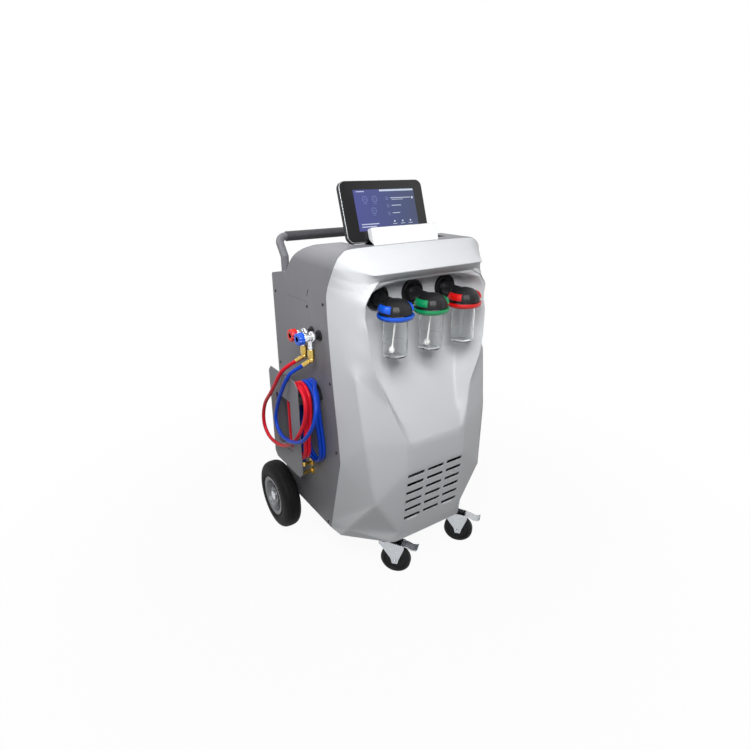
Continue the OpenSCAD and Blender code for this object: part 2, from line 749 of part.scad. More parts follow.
module cap(k) {
    dock_front = bay_back_y - rest_gap - dock_t;
    color(black) from_caster_line() translate([bottle_xs[k], bottle_y, 0]) difference() {
        union() {
            rotate_extrude() polygon([
                [0, cap_base_z], [cap_r, cap_base_z], [cap_r, cap_base_z + cap_h - 31],
                [cap_r - 1.5, cap_base_z + cap_h - 24], [cap_r - 6.5, cap_base_z + cap_h - 15],
                [cap_r - 13.5, cap_base_z + cap_h - 9], [cap_r - 22.5, cap_base_z + cap_h - 4],
                [cap_r - 34.5, cap_base_z + cap_h - 1], [0, cap_base_z + cap_h]]);
            bar_y(0, dock_front - rest_gap - bottle_y, neck_d, 0, dock_z);
            // dip tube down to the bottom of the jar
            translate([0, 0, collar_z - jar_l + 24]) cylinder(h = jar_l, d = 6);
        }
        bar_y(dock_front - plug_l - bottle_y - 1, dock_front, plug_d + 2 * turn_gap, 0, dock_z);
        translate([-cap_r - 10, -latch_w / 2 - rest_gap, latch_z - latch_travel - rest_gap])
            cube([2 * cap_r + 20, latch_w + 2 * rest_gap, latch_h + latch_travel + 2 * rest_gap]);
    }
}

// Release latch: a bar through the cap with a coloured thumb block at each end
module latch(k) {
    from_caster_line() translate([bottle_xs[k], bottle_y, 0]) {
        translate([-latch_reach, -latch_w / 2, latch_z]) cube([2 * latch_reach, latch_w, latch_h]);
    }
}

module blue_jar() { color([0.9, 0.92, 0.95, 0.4]) jar(0); }
module blue_collar() { color(hose_blue) collar(0); }
module blue_cap() { cap(0); }
module blue_latch() { color(hose_blue) latch(0); }
module green_jar() { color([0.9, 0.92, 0.95, 0.4]) jar(1); }
module green_collar() { color(bottle_green) collar(1); }
module green_cap() { cap(1); }
module green_latch() { color(bottle_green) latch(1); }
module red_jar() { color([0.9, 0.92, 0.95, 0.4]) jar(2); }
module red_collar() { color(hose_red) collar(2); }
module red_cap() { cap(2); }
module red_latch() { color(hose_red) latch(2); }

// Hose hanger on the left: a plate with a window, bent back to the sheet, and a saddle for the hanks
hanger_t = 3;
hanger_corner = 16;
hanger_taper = 58;
hanger_in = body_half_w + hanger_gap;
hanger_front_y = 197;
hanger_rear_y = 401;
hanger_low_z = 330;
hanger_top_z = 659;
window_front_y = 254;
window_rear_y = 360;
window_low_z = 403;
window_top_z = 580;
hank_r = 50;
saddle_r = hank_r - hose_d / 2 - rest_gap;

module hose_hanger() {
    color(sheet_grey) from_caster_line() {
        across(-hanger_in - hanger_t, -hanger_in) difference() {
            polygon([[hanger_front_y, hanger_low_z + 20], [hanger_front_y + 20, hanger_low_z],
                     [hanger_rear_y - hanger_corner, hanger_low_z], [hanger_rear_y, hanger_low_z + hanger_corner],
                     [hanger_rear_y, hanger_top_z - hanger_corner], [hanger_rear_y - hanger_corner, hanger_top_z],
                     [hanger_front_y + 20, hanger_top_z], [hanger_front_y, hanger_top_z - 20]]);
            translate([window_front_y, window_low_z])
                square([window_rear_y - window_front_y, window_top_z - window_low_z]);
        }
        // flange that tapers from the plate to its foot on the sheet
        translate([0, hanger_rear_y, 0]) rotate([90, 0, 0]) linear_extrude(hanger_t) polygon([
            [-hanger_in - eps, hanger_low_z + hanger_corner], [-body_half_w, hanger_low_z + hanger_taper],
            [-body_half_w, hanger_top_z - hanger_taper], [-hanger_in - eps, hanger_top_z - hanger_corner]]);
        translate([-body_half_w - hanger_t, hanger_rear_y - hanger_t, hanger_low_z + hanger_taper])
            cube([hanger_t, 22, hanger_top_z - hanger_low_z - 2 * hanger_taper]);
        intersection() {
            bar_x(-hanger_in - eps, -body_half_w, 2 * saddle_r, saddle_y, saddle_z);
            translate([-hanger_in - 1, saddle_y - saddle_r, saddle_z])
                cube([hanger_gap + 1, 2 * saddle_r, saddle_r]);
        }
    }
}

// Quick couplers parked on two spigots in the hood's left side
park_d = 20;
park_l = 18;
coupler_ys = [coupler_y + coupler_pitch / 2, coupler_y - coupler_pitch / 2];
coupler_in = body_half_w + park_l + rest_gap;
coupler_body_d = 27;
coupler_body_l = 36;
coupler_out = coupler_in + coupler_body_l;
stem_d = 12;
knob_d = 37;
knob_l = 20;
ball_x = -coupler_in - 12;
ball_z = coupler_z - 70;
barrel_way = [-0.62, 0.55, -0.56];
barrel_l = 32;
barrel_d = 15;

module coupler_parks() {
    color(black) from_caster_line() for (y = coupler_ys) {
        bar_x(-body_half_w - park_l, -sheet_x + 6, park_d, y, coupler_z);
        bar_x(-body_half_w - 5, -body_half_w, park_d + 12, y, coupler_z);
    }
}

module coupler(y) {
    color(chrome) from_caster_line() {
        bar_x(-coupler_out, -coupler_in, coupler_body_d, y, coupler_z);
        bar_x(-coupler_in - 10, -coupler_in, coupler_body_d + 5, y, coupler_z);
        bar_x(-coupler_out - 12, -coupler_out + eps, stem_d, y, coupler_z);
        translate([ball_x, y, ball_z + 30]) cylinder(h = coupler_z - ball_z - 30, d = 15);
        translate([ball_x, y, ball_z + 6]) cylinder(h = 26, d = 22, $fn = 6);
        translate([ball_x, y, ball_z]) sphere(d = 20);
        translate([ball_x, y, ball_z]) along(barrel_way) cylinder(h = barrel_l, d = barrel_d);
    }
}

knob_ribs = 10;
module knob(y) {
    from_caster_line() difference() {
        bar_x(-coupler_out - knob_l - rest_gap, -coupler_out - rest_gap, knob_d, y, coupler_z);
        bar_x(-coupler_out - 13, -coupler_out + 1, stem_d + 2 * turn_gap, y, coupler_z);
        for (k = [0 : knob_ribs - 1])
            translate([0, y, coupler_z]) rotate([360 / knob_ribs * k, 0, 0])
                bar_x(-coupler_out - knob_l - 1, -coupler_out - 5, 7, knob_d / 2 + 1.5, 0);
    }
}

module red_coupler() { coupler(coupler_ys[0]); }
module red_knob() { color(hose_red) knob(coupler_ys[0]); }
module blue_coupler() { coupler(coupler_ys[1]); }
module blue_knob() { color(hose_blue) knob(coupler_ys[1]); }

// Service hoses: a free loop from each coupler, a hank over the saddle and a drop to its port
hank_strands = 3;
hank_w = hank_strands * hose_d + 1;
red_hank_x = -hanger_in + 1 + hank_w / 2;
blue_hank_x = -body_half_w - 1 - hank_w / 2;
red_hank_drop = 147;
blue_hank_drop = 174;
// The last strand of each hank goes straight down to its port
red_tail_x = red_hank_x + hose_d;
blue_tail_x = blue_hank_x - hose_d;
port_z = 340;
hose_top_z = saddle_z + hank_r;

red_route = [[-315, 256, 708], [-331, 270, 694], [-347, 285, 676], [-355, 303, 652], [-359, 325, 622],
             [-361, 367, 574], [-363, 412, 526], [-363, 439, 474], [-363, 438, 430], [-362, 407, 402],
             [-361, 353, 399], [-359, 298, 412], [-356, 240, 444], [-353, 194, 490], [-344, 168, 540],
             [-339, 160, 588], [-335, 178, 626], [-335, 208, 641], [-336, 240, 642]];
blue_route = [[-315, 210, 708], [-331, 224, 694], [-347, 239, 676], [-355, 253, 652], [-360, 268, 626],
              [-364, 296, 578], [-366, 318, 530], [-368, 322, 502], [-369, 310, 476], [-369, 286, 461],
              [-369, 250, 460], [-368, 202, 470], [-363, 150, 494], [-354, 116, 532], [-343, 100, 574],
              [-331, 108, 614], [-317, 138, 640], [-299, 174, 647], [-281, 204, 646],
              [-273, 240, 642]];

function route_way(route, k) =
    unit(route[min(k + 1, len(route) - 1)] - route[max(k - 1, 0)]);

// A closed tube along the route, with one ring of corners at each point
module swept_tube(route, d) {
    sides = 10;
    last = len(route) - 1;
    points = [for (k = [0 : last])
        let (t = route_way(route, k), u = unit(cross(t, [1, 0.2, 0.1])), w = cross(t, u))
        for (s = [0 : sides - 1]) route[k] + d / 2 * (cos(360 / sides * s) * u + sin(360 / sides * s) * w)];
    walls = [for (k = [0 : last - 1]) for (s = [0 : sides - 1])
        let (a = k * sides + s, b = k * sides + (s + 1) % sides)
        each [[a, a + sides, b + sides], [a, b + sides, b]]];
    polyhedron(points, concat([[for (s = [0 : sides - 1]) s]], walls,
                              [[for (s = [sides - 1 : -1 : 0]) last * sides + s]]));
}

// Straight end from the hank down to its port
module drop(x, drop_l) {
    translate([x, saddle_y + hank_r, port_z]) cylinder(h = saddle_z - drop_l - port_z, d = hose_d);
}

module hank(x, drop_l) {
    outer = hank_r + hose_d / 2;
    inner = hank_r - hose_d / 2;
    from_caster_line() across(x - hank_w / 2, x + hank_w / 2) difference() {
        union() {
            for (z = [saddle_z - drop_l, saddle_z]) translate([saddle_y, z]) circle(r = outer);
            translate([saddle_y - outer, saddle_z - drop_l]) square([2 * outer, drop_l]);
        }
        for (z = [saddle_z - drop_l, saddle_z]) translate([saddle_y, z]) circle(r = inner);
        translate([saddle_y - inner, saddle_z - drop_l]) square([2 * inner, drop_l]);
    }
}

module red_hose() {
    color(hose_red) from_caster_line() {
        swept_tube(red_route, hose_d);
        drop(red_tail_x, red_hank_drop);
    }
}

module blue_hose() {
    color(hose_blue) from_caster_line() {
        swept_tube(blue_route, hose_d);
        drop(blue_tail_x, blue_hank_drop);
    }
}

module red_hank() { color(hose_red) hank(red_hank_x, red_hank_drop); }
module blue_hank() { color(hose_blue) hank(blue_hank_x, blue_hank_drop); }

// Elbow ports on the left rear sheet that the hoses come out of
port_d = 16;
module hose_ports() {
    y = saddle_y + hank_r;
    color(chrome) from_caster_line() for (p = [[red_tail_x, port_z - 44], [blue_tail_x, port_z - 12]]) {
        bar_x(p[0], -body_half_w, port_d - 4, y, p[1]);
        bar_x(-body_half_w - 5, -body_half_w, port_d + 10, y, p[1]);
        translate([p[0], y, p[1]]) sphere(d = port_d);
        translate([p[0], y, p[1]]) cylinder(h = port_z - p[1], d = port_d);
    }
}

// Mains inlet with its rocker switch, low on the rear panel
rocker_w = 20;
rocker_h = 14;
rocker_x = inlet_x + 16;
rocker_proud = 4;

module mains_inlet() {
    rim = 5;
    color(black) from_caster_line() difference() {
        union() {
            translate([inlet_x - inlet_w / 2 - rim, body_rear_y, inlet_z - inlet_h / 2 - rim])
                cube([inlet_w + 2 * rim, 3, inlet_h + 2 * rim]);
            translate([inlet_x - inlet_w / 2 + rest_gap, body_rear_y - 24, inlet_z - inlet_h / 2 + rest_gap])
                cube([inlet_w - 2 * rest_gap, 24 + eps, inlet_h - 2 * rest_gap]);
        }
        translate([inlet_x - 24, body_rear_y - 16, inlet_z - 10]) cube([26, 40, 20]);
        translate([rocker_x - rocker_w / 2 + 1, body_rear_y - 12, inlet_z - rocker_h / 2 - 2])
            cube([rocker_w - 2, 40, rocker_h + 4]);
    }
    // earth, live and neutral pins
    color(zinc) from_caster_line() for (p = [[-18, 0], [-11, 4], [-4, 0]])
        bar_y(body_rear_y - 16 - eps, body_rear_y - 3, 3, inlet_x + p[0], inlet_z + p[1]);
}

module mains_rocker() {
    color(black) from_caster_line() across(rocker_x - rocker_w / 2 + 1.3, rocker_x + rocker_w / 2 - 1.3) polygon([
        [body_rear_y - 3, inlet_z - rocker_h / 2], [body_rear_y + 4, inlet_z - rocker_h / 2],
        [body_rear_y + 2.5, inlet_z], [body_rear_y + 4 + rocker_proud, inlet_z + rocker_h / 2 - 1],
        [body_rear_y - 3, inlet_z + rocker_h / 2 - 1], [body_rear_y - 11.5, inlet_z]]);
}

// Inside the cabinet: scale and tank at the rear, pumps on the left, condenser behind the vents
floor_z = pan_z + pan_floor;
tank_x = 105;
tank_y = 365;
tank_r = 118;
tank_l = 430;
tank_wall = 4;
valve_bore = 6;
scale_h = 42;
tank_foot_z = floor_z + scale_h;

module tank_scale() {
    color(zinc) from_caster_line() {
        translate([tank_x - 125, tank_y - 125, floor_z]) cube([250, 250, 8]);
        translate([tank_x - 20, tank_y - 65, floor_z + 8 - eps]) cube([40, 130, 22 + 2 * eps]);
        translate([tank_x - 125, tank_y - 125, floor_z + 30]) cube([250, 250, scale_h - 30]);
    }
}

module refrigerant_tank() {
    r = tank_r;
    w = tank_wall;
    color([0.55, 0.57, 0.62]) from_caster_line() translate([tank_x, tank_y, tank_foot_z]) difference() {
        union() {
            // hollow shell on a foot ring, open at the neck
            rotate_extrude() polygon([
                [r - 16, 0], [r - 12, 0], [r - 12, 30], [r, 52], [r, tank_l - 60], [r - 12, tank_l - 30],
                [r - 45, tank_l - 8], [20, tank_l], [20, tank_l + 14], [valve_bore / 2, tank_l + 14],
                [valve_bore / 2, tank_l - w], [r - 46, tank_l - 8 - w], [r - 12 - w, tank_l - 32],
                [r - w, tank_l - 61], [r - w, 53], [r - 16, 40 + w], [0, 42 + w], [0, 40], [r - 20, 36]]);
            translate([0, 0, tank_l + 10]) cylinder(h = 34, d = 26);
            translate([-34, 0, tank_l + 32]) rotate([0, 90, 0]) cylinder(h = 68, d = 16);
        }
        translate([0, 0, tank_l]) cylinder(h = 60, d = valve_bore);
    }
}

pump_wall = 8;
module compressor() {
    w = pump_wall;
    color(black) from_caster_line() translate([-body_half_w + 125, 395, floor_z]) difference() {
        union() {
            rotate_extrude() polygon([[0, 0], [70, 0], [82, 24], [82, 150], [70, 185], [35, 205], [0, 210]]);
            translate([70, 0, 120]) rotate([0, 90, 0]) cylinder(h = 22, d = 14);
        }
        rotate_extrude() polygon([[0, w], [70 - w, w], [82 - w, 24], [82 - w, 148], [68 - w, 180], [34, 196], [0, 200]]);
        translate([60, 0, 120]) rotate([0, 90, 0]) cylinder(h = 40, d = valve_bore);
    }
}

module vacuum_pump() {
    color([0.25, 0.33, 0.45]) from_caster_line() translate([-body_half_w + 115, 215, floor_z]) {
        translate([-60, -60, 0]) cube([120, 120, 10]);
        translate([-50, -50, 9.9]) cube([100, 100, 30]);
        translate([0, -85, 90]) rotate([-90, 0, 0]) cylinder(h = 150, d = 110);
        translate([-48, -90, 42]) cube([96, 20, 96]);
        translate([0, 10, 130]) cylinder(h = 40, d = 22);
    }
}

condenser_half_w = 150;
condenser_y = 62;
condenser_t = 34;
condenser_h = 260;
fan_r = 95;
fan_z = floor_z + condenser_h / 2 + 10;
fan_y = condenser_y + condenser_t + 26;
motor_y = fan_y + 16;

module condenser() {
    frame = 12;
    half = condenser_half_w;
    color(steel) from_caster_line() {
        difference() {
            translate([-half, condenser_y, floor_z]) cube([2 * half, condenser_t, condenser_h]);
            translate([-half + frame, condenser_y - 1, floor_z + frame])
                cube([2 * (half - frame), condenser_t + 2, condenser_h - 2 * frame]);
        }
        for (k = [0 : 9])
            bar_x(-half + 1, half - 1, 10, condenser_y + condenser_t / 2, floor_z + 24 + k * 23.5);
        // shroud struts that carry the fan's motor
        for (s = [-1, 1]) translate([s * 80 - 6, condenser_y + condenser_t - eps, floor_z])
            cube([12, motor_y + 34 - condenser_y - condenser_t, 12]);
        translate([-86, motor_y + 20, floor_z]) cube([172, 14, 12]);
        translate([-10, motor_y + 20, floor_z]) cube([20, 14, fan_z - floor_z]);
        bar_y(motor_y, motor_y + 34, 60, 0, fan_z);
        bar_y(fan_y - 12, motor_y + 1, 8, 0, fan_z);
    }
}

module condenser_fan() {
    color(black) from_caster_line() translate([0, fan_y, fan_z]) difference() {
        union() {
            bar_y(-10, 12, 44, 0, 0);
            for (k = [0 : 6]) rotate([0, 360 / 7 * k, 0])
                translate([0, 0, 18]) rotate([0, 0, 28]) translate([-17, -1.5, 0]) cube([34, 3, fan_r - 18]);
        }
        bar_y(-20, 20, 8 + 2 * turn_gap, 0, 0);
    }
}

module valve_block() {
    block_y = bay_back_y + shell_wall + 1 + rest_gap;
    color(steel) from_caster_line() {
        translate([-160, block_y, dock_z - 26]) cube([320, 44, 52]);
        for (k = [-2 : 2]) translate([k * 60, block_y + 22, dock_z + 25]) cylinder(h = 30, d = 26);
    }
}

base_tray();
rear_axle();
axle_caps();
caster_mounts();
left_tyre();
left_rim();
right_tyre();
right_rim();
left_caster_fork();
left_caster_wheel();
left_caster_pedal();
right_caster_fork();
right_caster_wheel();
right_caster_pedal();
hood();
left_rear_sheet();
right_rear_sheet();
rear_panel();
rear_deck();
tool_tray();
front_shell();
panel_screws();
push_handle();
handle_grip();
tablet_holder();
tablet();
bottle_docks();
blue_jar();
blue_collar();
blue_cap();
blue_latch();
green_jar();
green_collar();
green_cap();
green_latch();
red_jar();
red_collar();
red_cap();
red_latch();
hose_hanger();
coupler_parks();
red_coupler();
red_knob();
blue_coupler();
blue_knob();
red_hose();
red_hank();
blue_hose();
blue_hank();
hose_ports();
mains_inlet();
mains_rocker();
refrigerant_tank();
tank_scale();
compressor();
vacuum_pump();
condenser();
condenser_fan();
valve_block();
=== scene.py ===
# %% [markdown]
# # Air conditioning service station
# A wheeled cabinet with a moulded front, three plug-on bottles, a tablet and two service hoses. The packed
# CAD model is the frame of this scene. Its bodies and sizes stay as they are, and each step below gives one
# group of pieces its finish and the softer forms that a plain solid only hints at.

# %% Load the frame
import json
import math

import bmesh
import bpy
from mathutils import Matrix, Vector
from mathutils.geometry import intersect_point_line

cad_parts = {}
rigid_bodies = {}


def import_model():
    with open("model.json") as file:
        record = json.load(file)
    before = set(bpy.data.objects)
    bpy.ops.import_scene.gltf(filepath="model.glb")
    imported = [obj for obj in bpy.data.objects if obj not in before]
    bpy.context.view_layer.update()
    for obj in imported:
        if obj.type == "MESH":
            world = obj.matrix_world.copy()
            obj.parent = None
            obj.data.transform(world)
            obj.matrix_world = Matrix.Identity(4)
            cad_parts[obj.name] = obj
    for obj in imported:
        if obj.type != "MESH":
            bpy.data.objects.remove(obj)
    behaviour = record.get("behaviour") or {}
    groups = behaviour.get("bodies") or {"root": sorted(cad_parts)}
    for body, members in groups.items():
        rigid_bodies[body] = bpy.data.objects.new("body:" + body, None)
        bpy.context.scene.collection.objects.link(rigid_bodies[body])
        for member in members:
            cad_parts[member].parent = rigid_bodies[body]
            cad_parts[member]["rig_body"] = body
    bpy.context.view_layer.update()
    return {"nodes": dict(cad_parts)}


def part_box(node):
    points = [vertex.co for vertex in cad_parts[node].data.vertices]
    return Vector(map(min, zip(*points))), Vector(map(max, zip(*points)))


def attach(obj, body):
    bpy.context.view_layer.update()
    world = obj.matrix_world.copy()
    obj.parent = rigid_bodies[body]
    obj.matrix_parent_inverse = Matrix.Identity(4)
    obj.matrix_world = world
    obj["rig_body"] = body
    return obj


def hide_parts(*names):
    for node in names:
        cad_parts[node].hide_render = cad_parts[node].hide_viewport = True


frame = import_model()
nodes = frame["nodes"]

# %% [markdown]
# ## One ruler
# The CAD source measures in millimetres from the line where the casters touch the floor. Blender works in
# metres about the middle of the footprint. The place of the rear axle is known in both, so the axle's box
# gives the shift, and one helper turns a workshop measure into a place in the scene.

# %% Millimetres from the caster line
AXLE_Y, AXLE_Z = 463, 125
axle_low, axle_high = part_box("rear_axle")
caster_line = (axle_low.y + axle_high.y) / 2 - AXLE_Y / 1000


def at(x, y, z):
    return Vector((x / 1000, caster_line + y / 1000, z / 1000))


print("caster line at y", round(caster_line, 4))

# %% [markdown]
# ## Camera
# The camera stands to the left of the front, a little above the cabinet, and looks down on it. A camera can
# be aimed with a constraint, but the roll of a real tripod is easier to hold with three axes of its own:
# one to the right, one up and one back along the view.

# %% Camera
CAMERA_PLACE = (-959, -1129, 1250)
FOCAL_LENGTH, SENSOR_WIDTH = 25.42, 36
TURN, TILT, ROLL = (math.radians(a) for a in (-33.92, 21.346, 0.408))
level = math.cos(TILT)
back = Vector((math.sin(TURN) * level, -math.cos(TURN) * level, math.sin(TILT)))
right = Vector((0, 0, 1)).cross(back).normalized()
up = back.cross(right)
side = right * math.cos(ROLL) - up * math.sin(ROLL)
axes = Matrix((side, back.cross(side), back)).transposed().to_4x4()
lens = bpy.data.cameras.new("camera")
lens.lens = FOCAL_LENGTH
lens.sensor_width = SENSOR_WIDTH
camera = bpy.data.objects.new("camera", lens)
camera.matrix_world = Matrix.Translation(at(*CAMERA_PLACE)) @ axes
bpy.context.scene.collection.objects.link(camera)
bpy.context.scene.camera = camera
bpy.context.scene.view_settings.view_transform = "Standard"
print("camera at", [round(c, 3) for c in camera.matrix_world.translation])

# %% [markdown]
# ## Studio
# The machine stands on white paper under soft lamps that hang high, so its upper faces are bright and its
# foot is dim. A white background could come from stronger lamps, but that would wash out the greys. Here
# the world and the floor answer the camera, mirrors and glass with white, and give the object only a plain
# level of light.

# %% Helpers for what the camera sees
def seen_directly(tree):
    path = tree.nodes.new("ShaderNodeLightPath")
    total = path.outputs["Is Camera Ray"]
    for ray in ("Is Glossy Ray", "Is Transmission Ray"):
        larger = tree.nodes.new("ShaderNodeMath")
        larger.operation = "MAXIMUM"
        tree.links.new(total, larger.inputs[0])
        tree.links.new(path.outputs[ray], larger.inputs[1])
        total = larger.outputs[0]
    return total


def scaled(tree, value, factor, offset):
    sum_node = tree.nodes.new("ShaderNodeMath")
    sum_node.operation = "MULTIPLY_ADD"
    tree.links.new(value, sum_node.inputs[0])
    sum_node.inputs[1].default_value = factor
    sum_node.inputs[2].default_value = offset
    return sum_node.outputs[0]


print("light path helpers ready")

# %% World
WORLD_LIGHT = 0.13
world = bpy.data.worlds.new("white_studio")
world.use_nodes = True
tree = world.node_tree
sky = tree.nodes["Background"]
sky.inputs["Color"].default_value = (1, 1, 1, 1)
brightness = scaled(tree, seen_directly(tree), 1 - WORLD_LIGHT, WORLD_LIGHT)
tree.links.new(brightness, sky.inputs["Strength"])
bpy.context.scene.world = world
print("the world lights the machine with", WORLD_LIGHT, "of its white")

# %% [markdown]
# ## White paper
# Close to the machine the floor stays partly matt, so a soft shadow falls on it, and further out it melts
# into the world. The share of plain white grows with the distance from the middle of the footprint, which
# the Object coordinates of the floor give.

# %% Material of the floor
PAPER_DIM, PAPER_BRIGHT, PAPER_ROUGH = 0.15, 0.9, 0.9
WHITE_RANGE = {"From Min": 0.5, "From Max": 1.5, "To Min": 0.94, "To Max": 1.0}
paper = bpy.data.materials.new("white_paper")
paper.use_nodes = True
tree = paper.node_tree
seen = seen_directly(tree)
matt = tree.nodes["Principled BSDF"]
matt.inputs["Roughness"].default_value = PAPER_ROUGH
tree.links.new(scaled(tree, seen, PAPER_BRIGHT - PAPER_DIM, PAPER_DIM), matt.inputs["Base Color"])
floor_spot = tree.nodes.new("ShaderNodeTexCoord")
distance = tree.nodes.new("ShaderNodeVectorMath")
distance.operation = "LENGTH"
tree.links.new(floor_spot.outputs["Object"], distance.inputs[0])
share = tree.nodes.new("ShaderNodeMapRange")
for socket, value in WHITE_RANGE.items():
    share.inputs[socket].default_value = value
tree.links.new(distance.outputs["Value"], share.inputs["Value"])
white_share = tree.nodes.new("ShaderNodeMath")
white_share.operation = "MULTIPLY"
tree.links.new(share.outputs["Result"], white_share.inputs[0])
tree.links.new(seen, white_share.inputs[1])
glow = tree.nodes.new("ShaderNodeEmission")
blend = tree.nodes.new("ShaderNodeMixShader")
tree.links.new(white_share.outputs[0], blend.inputs[0])
tree.links.new(matt.outputs[0], blend.inputs[1])
tree.links.new(glow.outputs[0], blend.inputs[2])
tree.links.new(blend.outputs[0], tree.nodes["Material Output"].inputs["Surface"])
print("paper is plain white from", WHITE_RANGE["From Max"], "m outward")

# %% Floor
FLOOR_HALF = 12
sheet_of_paper = bmesh.new()
bmesh.ops.create_grid(sheet_of_paper, x_segments=4, y_segments=4, size=FLOOR_HALF)
floor_mesh = bpy.data.meshes.new("floor")
sheet_of_paper.to_mesh(floor_mesh)
sheet_of_paper.free()
floor_mesh.materials.append(paper)
floor = bpy.data.objects.new("floor", floor_mesh)
bpy.context.scene.collection.objects.link(floor)
print("floor", 2 * FLOOR_HALF, "m wide")

# %% [markdown]
# ## Lamps
# Four soft boxes hang round the machine. A photographer puts a honeycomb grid before a lamp to keep its
# light off the floor. An area lamp has the same thing in its spread, so the key and the left lamp get a
# narrow one, and their light stays on the upper half. The other two are open.

# %% Soft boxes with their place, power, size and grid angle
LAMP_AIM = Vector((0, 0, 0.95))
NO_GRID = 180
LAMPS = (("key", (-0.88, -1.42, 2.0), 13.6, 1.0, 100),
         ("top", (0.0, 0.9, 2.2), 6, 1.4, NO_GRID),
         ("fill", (1.5, -1.1, 2.2), 4, 1.2, NO_GRID),
         ("left", (-0.95, 0.3, 1.85), 2.3, 0.8, 80))
for name, place, watts, size, grid in LAMPS:
    lamp = bpy.data.lights.new(name, "AREA")
    lamp.energy = watts
    lamp.size = size
    lamp.spread = math.radians(grid)
    aim = (Vector(place) - LAMP_AIM).to_track_quat("Z", "Y").to_matrix().to_4x4()
    lamp_object = bpy.data.objects.new(name, lamp)
    lamp_object.matrix_world = Matrix.Translation(place) @ aim
    bpy.context.scene.collection.objects.link(lamp_object)
    print(name, "lamp", watts, "W")

# %% [markdown]
# ## Finishes
# Every finish on the machine is a colour that drifts a little, a gloss that varies with the grain, and a
# fine relief. An image could hold all that, but noise textures on Object coordinates need no file and keep
# their scale on every piece. One helper builds them all, and each call says how coarse and how deep the
# grain is. Colours are written as a screen shows them, from 0 to 255, and turned into Blender's linear
# light.

# %% Helper for finishes
GLOSS_SPAN, RELIEF_DEPTH = 0.06, 0.0004


def tone(red, green, blue):
    return [((c / 255 + 0.055) / 1.055) ** 2.4 if c > 10 else c / 3295 for c in (red, green, blue)]


def grain_node(tree, scale, detail, stretch):
    spot_node = tree.nodes.new("ShaderNodeTexCoord")
    mapping = tree.nodes.new("ShaderNodeMapping")
    mapping.inputs["Scale"].default_value = stretch
    grain = tree.nodes.new("ShaderNodeTexNoise")
    grain.inputs["Scale"].default_value = scale
    grain.inputs["Detail"].default_value = detail
    tree.links.new(spot_node.outputs["Object"], mapping.inputs["Vector"])
    tree.links.new(mapping.outputs["Vector"], grain.inputs["Vector"])
    return grain.outputs["Fac"]


def finish(name, colour, gloss, drift=0.05, cloud=11, grain=1100, relief=0.12, stretch=(1, 1, 1),
           sockets=None):
    material = bpy.data.materials.new(name)
    material.use_nodes = True
    tree = material.node_tree
    shader = tree.nodes["Principled BSDF"]
    for socket, value in (sockets or {}).items():
        shader.inputs[socket].default_value = value
    ramp = tree.nodes.new("ShaderNodeValToRGB")
    for stop, place, factor in zip(ramp.color_ramp.elements, (0.3, 0.7), (1 - drift, 1 + drift)):
        stop.position = place
        stop.color = [min(1, c * factor) for c in colour] + [1]
    tree.links.new(grain_node(tree, cloud, 4, stretch), ramp.inputs["Fac"])
    tree.links.new(ramp.outputs["Color"], shader.inputs["Base Color"])
    fine = grain_node(tree, grain, 2, stretch)
    span = tree.nodes.new("ShaderNodeMapRange")
    span.inputs["To Min"].default_value = max(0.02, gloss - GLOSS_SPAN)
    span.inputs["To Max"].default_value = gloss + GLOSS_SPAN
    tree.links.new(fine, span.inputs["Value"])
    tree.links.new(span.outputs["Result"], shader.inputs["Roughness"])
    bump = tree.nodes.new("ShaderNodeBump")
    bump.inputs["Strength"].default_value = relief
    bump.inputs["Distance"].default_value = RELIEF_DEPTH
    tree.links.new(fine, bump.inputs["Height"])
    tree.links.new(bump.outputs["Normal"], shader.inputs["Normal"])
    return material


print("finish helper ready")

# %% [markdown]
# ## Paint, plastic, metal and rubber
# The cabinet's sheets carry a grey powder coat with a fine orange peel. The front is moulded in a light
# grey with a leather-fine grain. Metal needs little colour of its own, so zinc and steel get their look
# from their gloss, and on the zinc its grain is stretched one way. Rubber is nearly black and broad in its
# shine.

# %% Finishes of the cabinet
powder_grey = finish("powder_grey", tone(127, 127, 132), 0.46, drift=0.03, grain=700, relief=0.2,
                     sockets={"Specular IOR Level": 0.25})
tube_grey = finish("tube_grey", tone(112, 112, 117), 0.4, drift=0.03, grain=700, relief=0.15,
                   sockets={"Specular IOR Level": 0.3})
moulded_grey = finish("moulded_grey", tone(206, 208, 211), 0.42, drift=0.02, cloud=6, grain=1500,
                      relief=0.14, sockets={"Specular IOR Level": 0.3})
black_plastic = finish("black_plastic", tone(27, 27, 29), 0.4, drift=0.12, grain=1600, relief=0.18,
                       sockets={"Specular IOR Level": 0.25})
grip_rubber = finish("grip_rubber", tone(58, 58, 62), 0.62, drift=0.12, cloud=40, grain=800, relief=0.3)
gloss_white = finish("gloss_white", tone(232, 233, 235), 0.14, drift=0.01, grain=300, relief=0.02,
                     sockets={"Coat Weight": 0.5, "Coat Roughness": 0.06})
print(len(bpy.data.materials), "materials so far")

# %% Finishes of the running gear
zinc_plate = finish("zinc_plate", tone(190, 193, 197), 0.28, drift=0.08, cloud=60, grain=240, relief=0.05,
                    stretch=(1, 1, 5), sockets={"Metallic": 1.0})
base_steel = finish("base_steel", tone(120, 122, 126), 0.5, drift=0.1, cloud=30, sockets={"Metallic": 0.8})
tyre_rubber = finish("tyre_rubber", tone(22, 22, 23), 0.62, drift=0.2, cloud=40, grain=900, relief=0.2,
                     sockets={"Specular IOR Level": 0.12})
caster_rubber = finish("caster_rubber", tone(24, 24, 26), 0.55, drift=0.15, cloud=50, relief=0.15,
                       sockets={"Specular IOR Level": 0.2})
rim_silver = finish("rim_silver", tone(112, 113, 116), 0.42, drift=0.06, cloud=40, sockets={"Metallic": 0.7})
print(len(bpy.data.materials), "materials so far")

